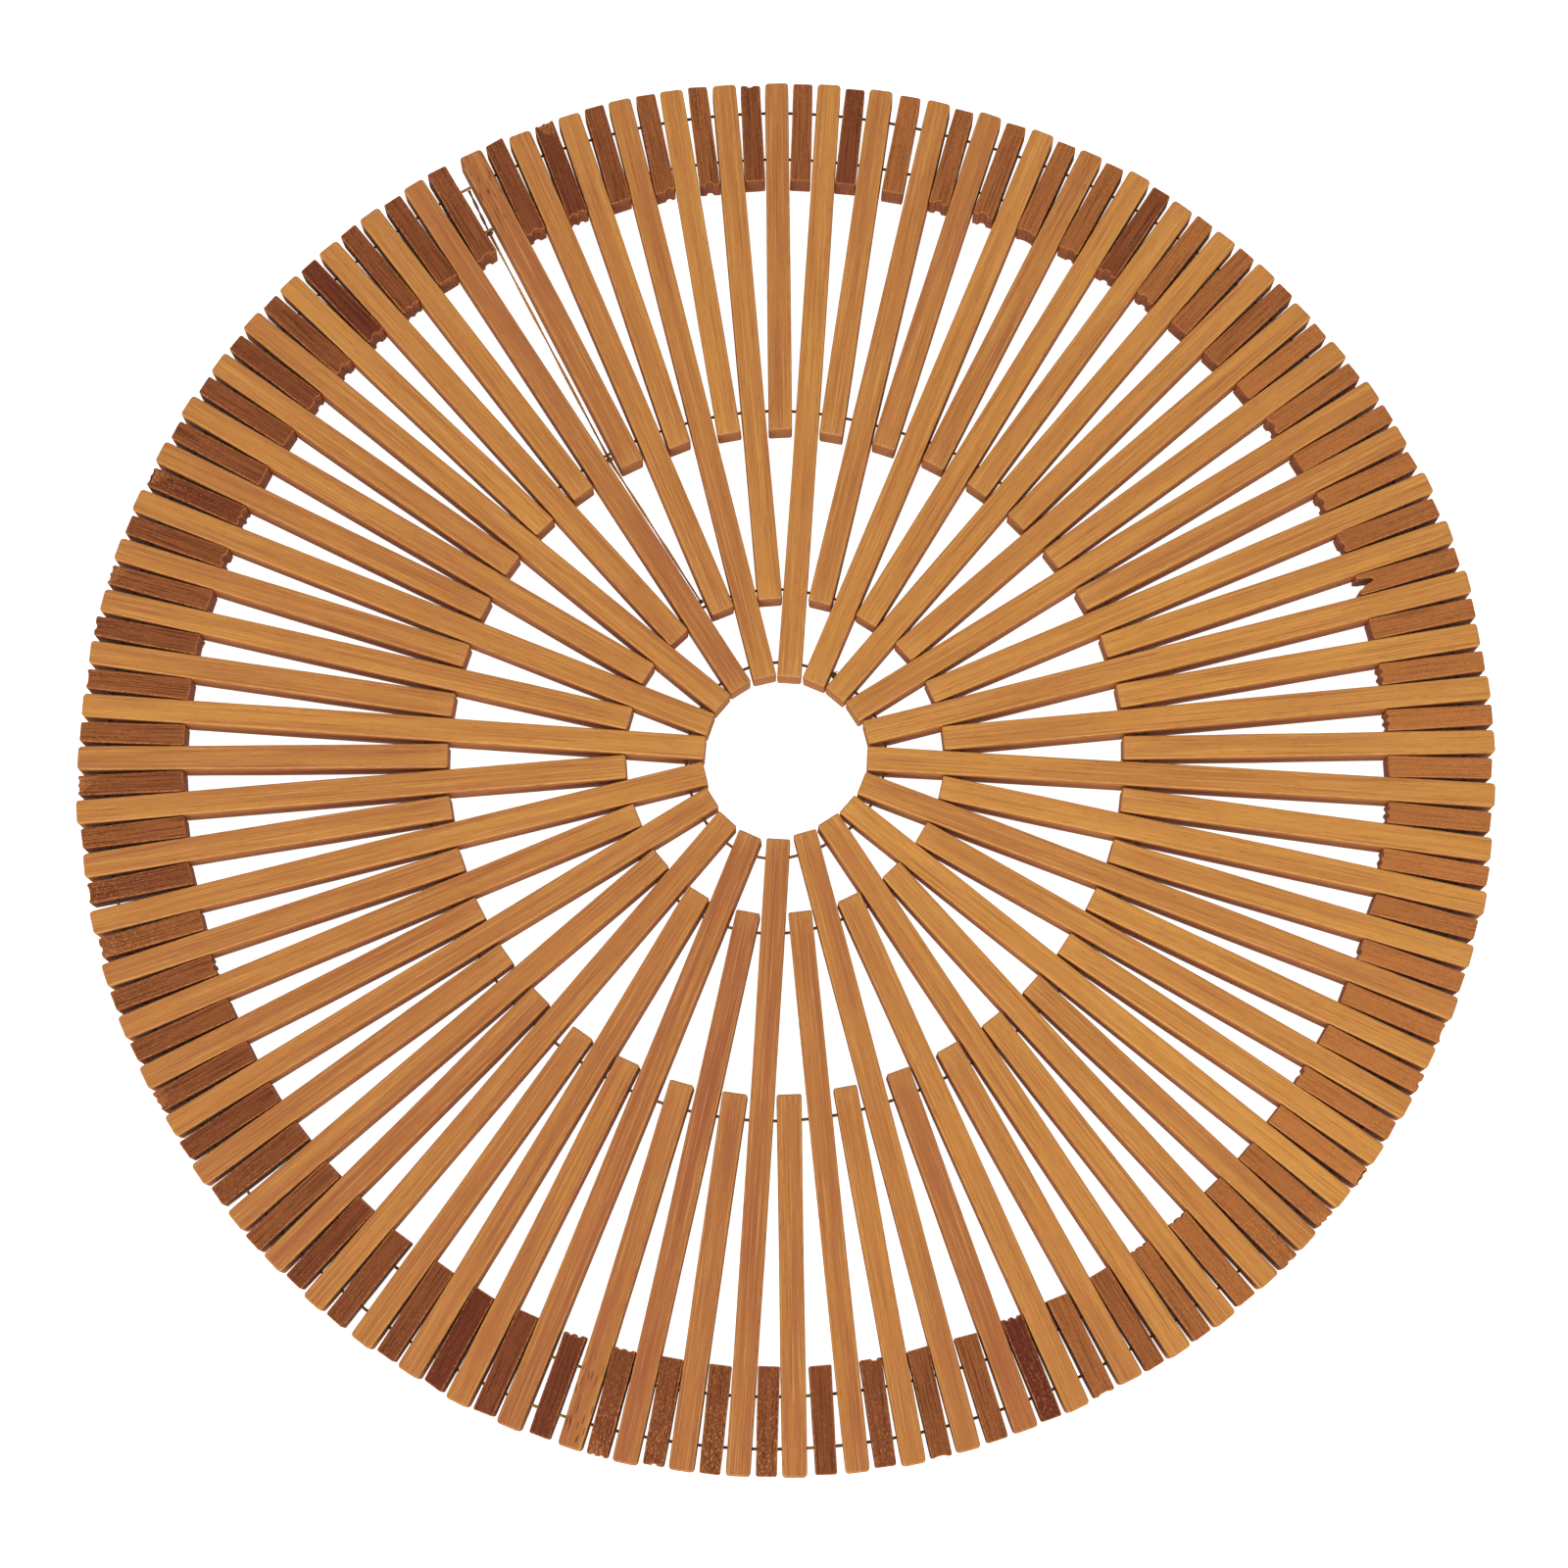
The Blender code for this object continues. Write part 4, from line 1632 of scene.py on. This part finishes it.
@dataclass
class Studio:
    """White table, soft light from the near side and above, and the camera.

    Args:
        camera_distance: distance of the camera from the mat's centre.
        camera_elevation: its height above the table, in degrees.
        focal_length: its focal length in the picture's pixels.
        picture: width and height of the picture in pixels.
        picture_centre: pixel that the mat's centre falls on.
        sky: strength of the light from above.
        ground: strength of the light from below.
        key_energy: power of the soft lamp, in watts.
        key_size: its diameter.
        key_place: its place.
    """

    camera_distance: float = 1042.12 * MM
    camera_elevation: float = 79.5385
    focal_length: float = 3944.62
    picture: float = 1600.0
    picture_centre: tuple[float, float] = (799.9, 775.0)
    sky: float = 0.71
    ground: float = 0.46
    key_energy: float = 11.0
    key_size: float = 1.1
    key_place: tuple[float, float, float] = (-0.25, -1.35, 1.0)

    def build(self) -> None:
        """Set the studio up."""
        self.lay_table()
        self.light()
        self.aim_camera()
        bpy.context.scene.view_settings.view_transform = "Standard"

    def lay_table(self) -> None:
        """Lay the white table top that the mat lies on."""
        deselect_all()
        bpy.ops.mesh.primitive_circle_add(
            vertices=64, radius=6.0, fill_type="NGON", location=(0.0, 0.0, -0.02 * MM),
        )
        table = bpy.context.object
        table.name = "white_table"
        material = bpy.data.materials.new("white_light_table")
        material.use_nodes = True
        shader = material.node_tree.nodes["Principled BSDF"]
        shader.inputs["Base Color"].default_value = linear("#f4f4f4")
        shader.inputs["Roughness"].default_value = 0.9
        shader.inputs["Emission Color"].default_value = (1.0, 1.0, 1.0, 1.0)
        shader.inputs["Emission Strength"].default_value = 0.95
        table.data.materials.append(material)
        table.visible_diffuse = False
        table.visible_glossy = False
        table.visible_shadow = False

    def light(self) -> None:
        """Add the even light of the room and the large soft lamp on the near side."""
        world = bpy.data.worlds.new("soft_room")
        world.use_nodes = True
        bpy.context.scene.world = world
        tree = world.node_tree
        back = tree.nodes["Background"]
        way = add_node(tree, "ShaderNodeTexCoord").outputs["Generated"]
        rise = add_node(tree, "ShaderNodeSeparateXYZ", {0: way}).outputs[2]
        strength = ramp(tree, rise, -0.15, 0.15, self.ground, self.sky)
        tree.links.new(strength, back.inputs["Strength"])
        back.inputs["Color"].default_value = (1.0, 0.985, 0.965, 1.0)

        lamp = bpy.data.lights.new("near_softbox", "AREA")
        lamp.shape = "DISK"
        lamp.size = self.key_size
        lamp.energy = self.key_energy
        holder = bpy.data.objects.new("near_softbox", lamp)
        holder.location = self.key_place
        holder.rotation_euler = Vector(self.key_place).to_track_quat("Z", "Y").to_euler()
        bpy.context.scene.collection.objects.link(holder)

    def aim_camera(self) -> None:
        """Set up the camera that the photograph was taken with."""
        rise = math.radians(self.camera_elevation)
        data = bpy.data.cameras.new("camera")
        data.sensor_width = 36.0
        data.lens = self.focal_length / self.picture * data.sensor_width
        data.shift_x = (self.picture / 2 - self.picture_centre[0]) / self.picture
        data.shift_y = (self.picture_centre[1] - self.picture / 2) / self.picture
        camera = bpy.data.objects.new("camera", data)
        camera.location = (
            0.0,
            -self.camera_distance * math.cos(rise),
            self.camera_distance * math.sin(rise),
        )
        camera.rotation_euler = (math.pi / 2 - rise, 0.0, 0.0)
        bpy.context.scene.collection.objects.link(camera)
        bpy.context.scene.camera = camera


def main() -> None:
    """Build the mat and the studio around it."""
    logging.basicConfig(level=logging.INFO, format="%(message)s")
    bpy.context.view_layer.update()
    layout = MatLayout()
    StickRing(layout, PlanedBamboo(), SawnBamboo()).build()
    thread = TwistedThread().material()
    RingThreads(layout, thread).build()
    TieThread(layout, thread).build()
    Studio().build()


if __name__ == "__main__":
    main()
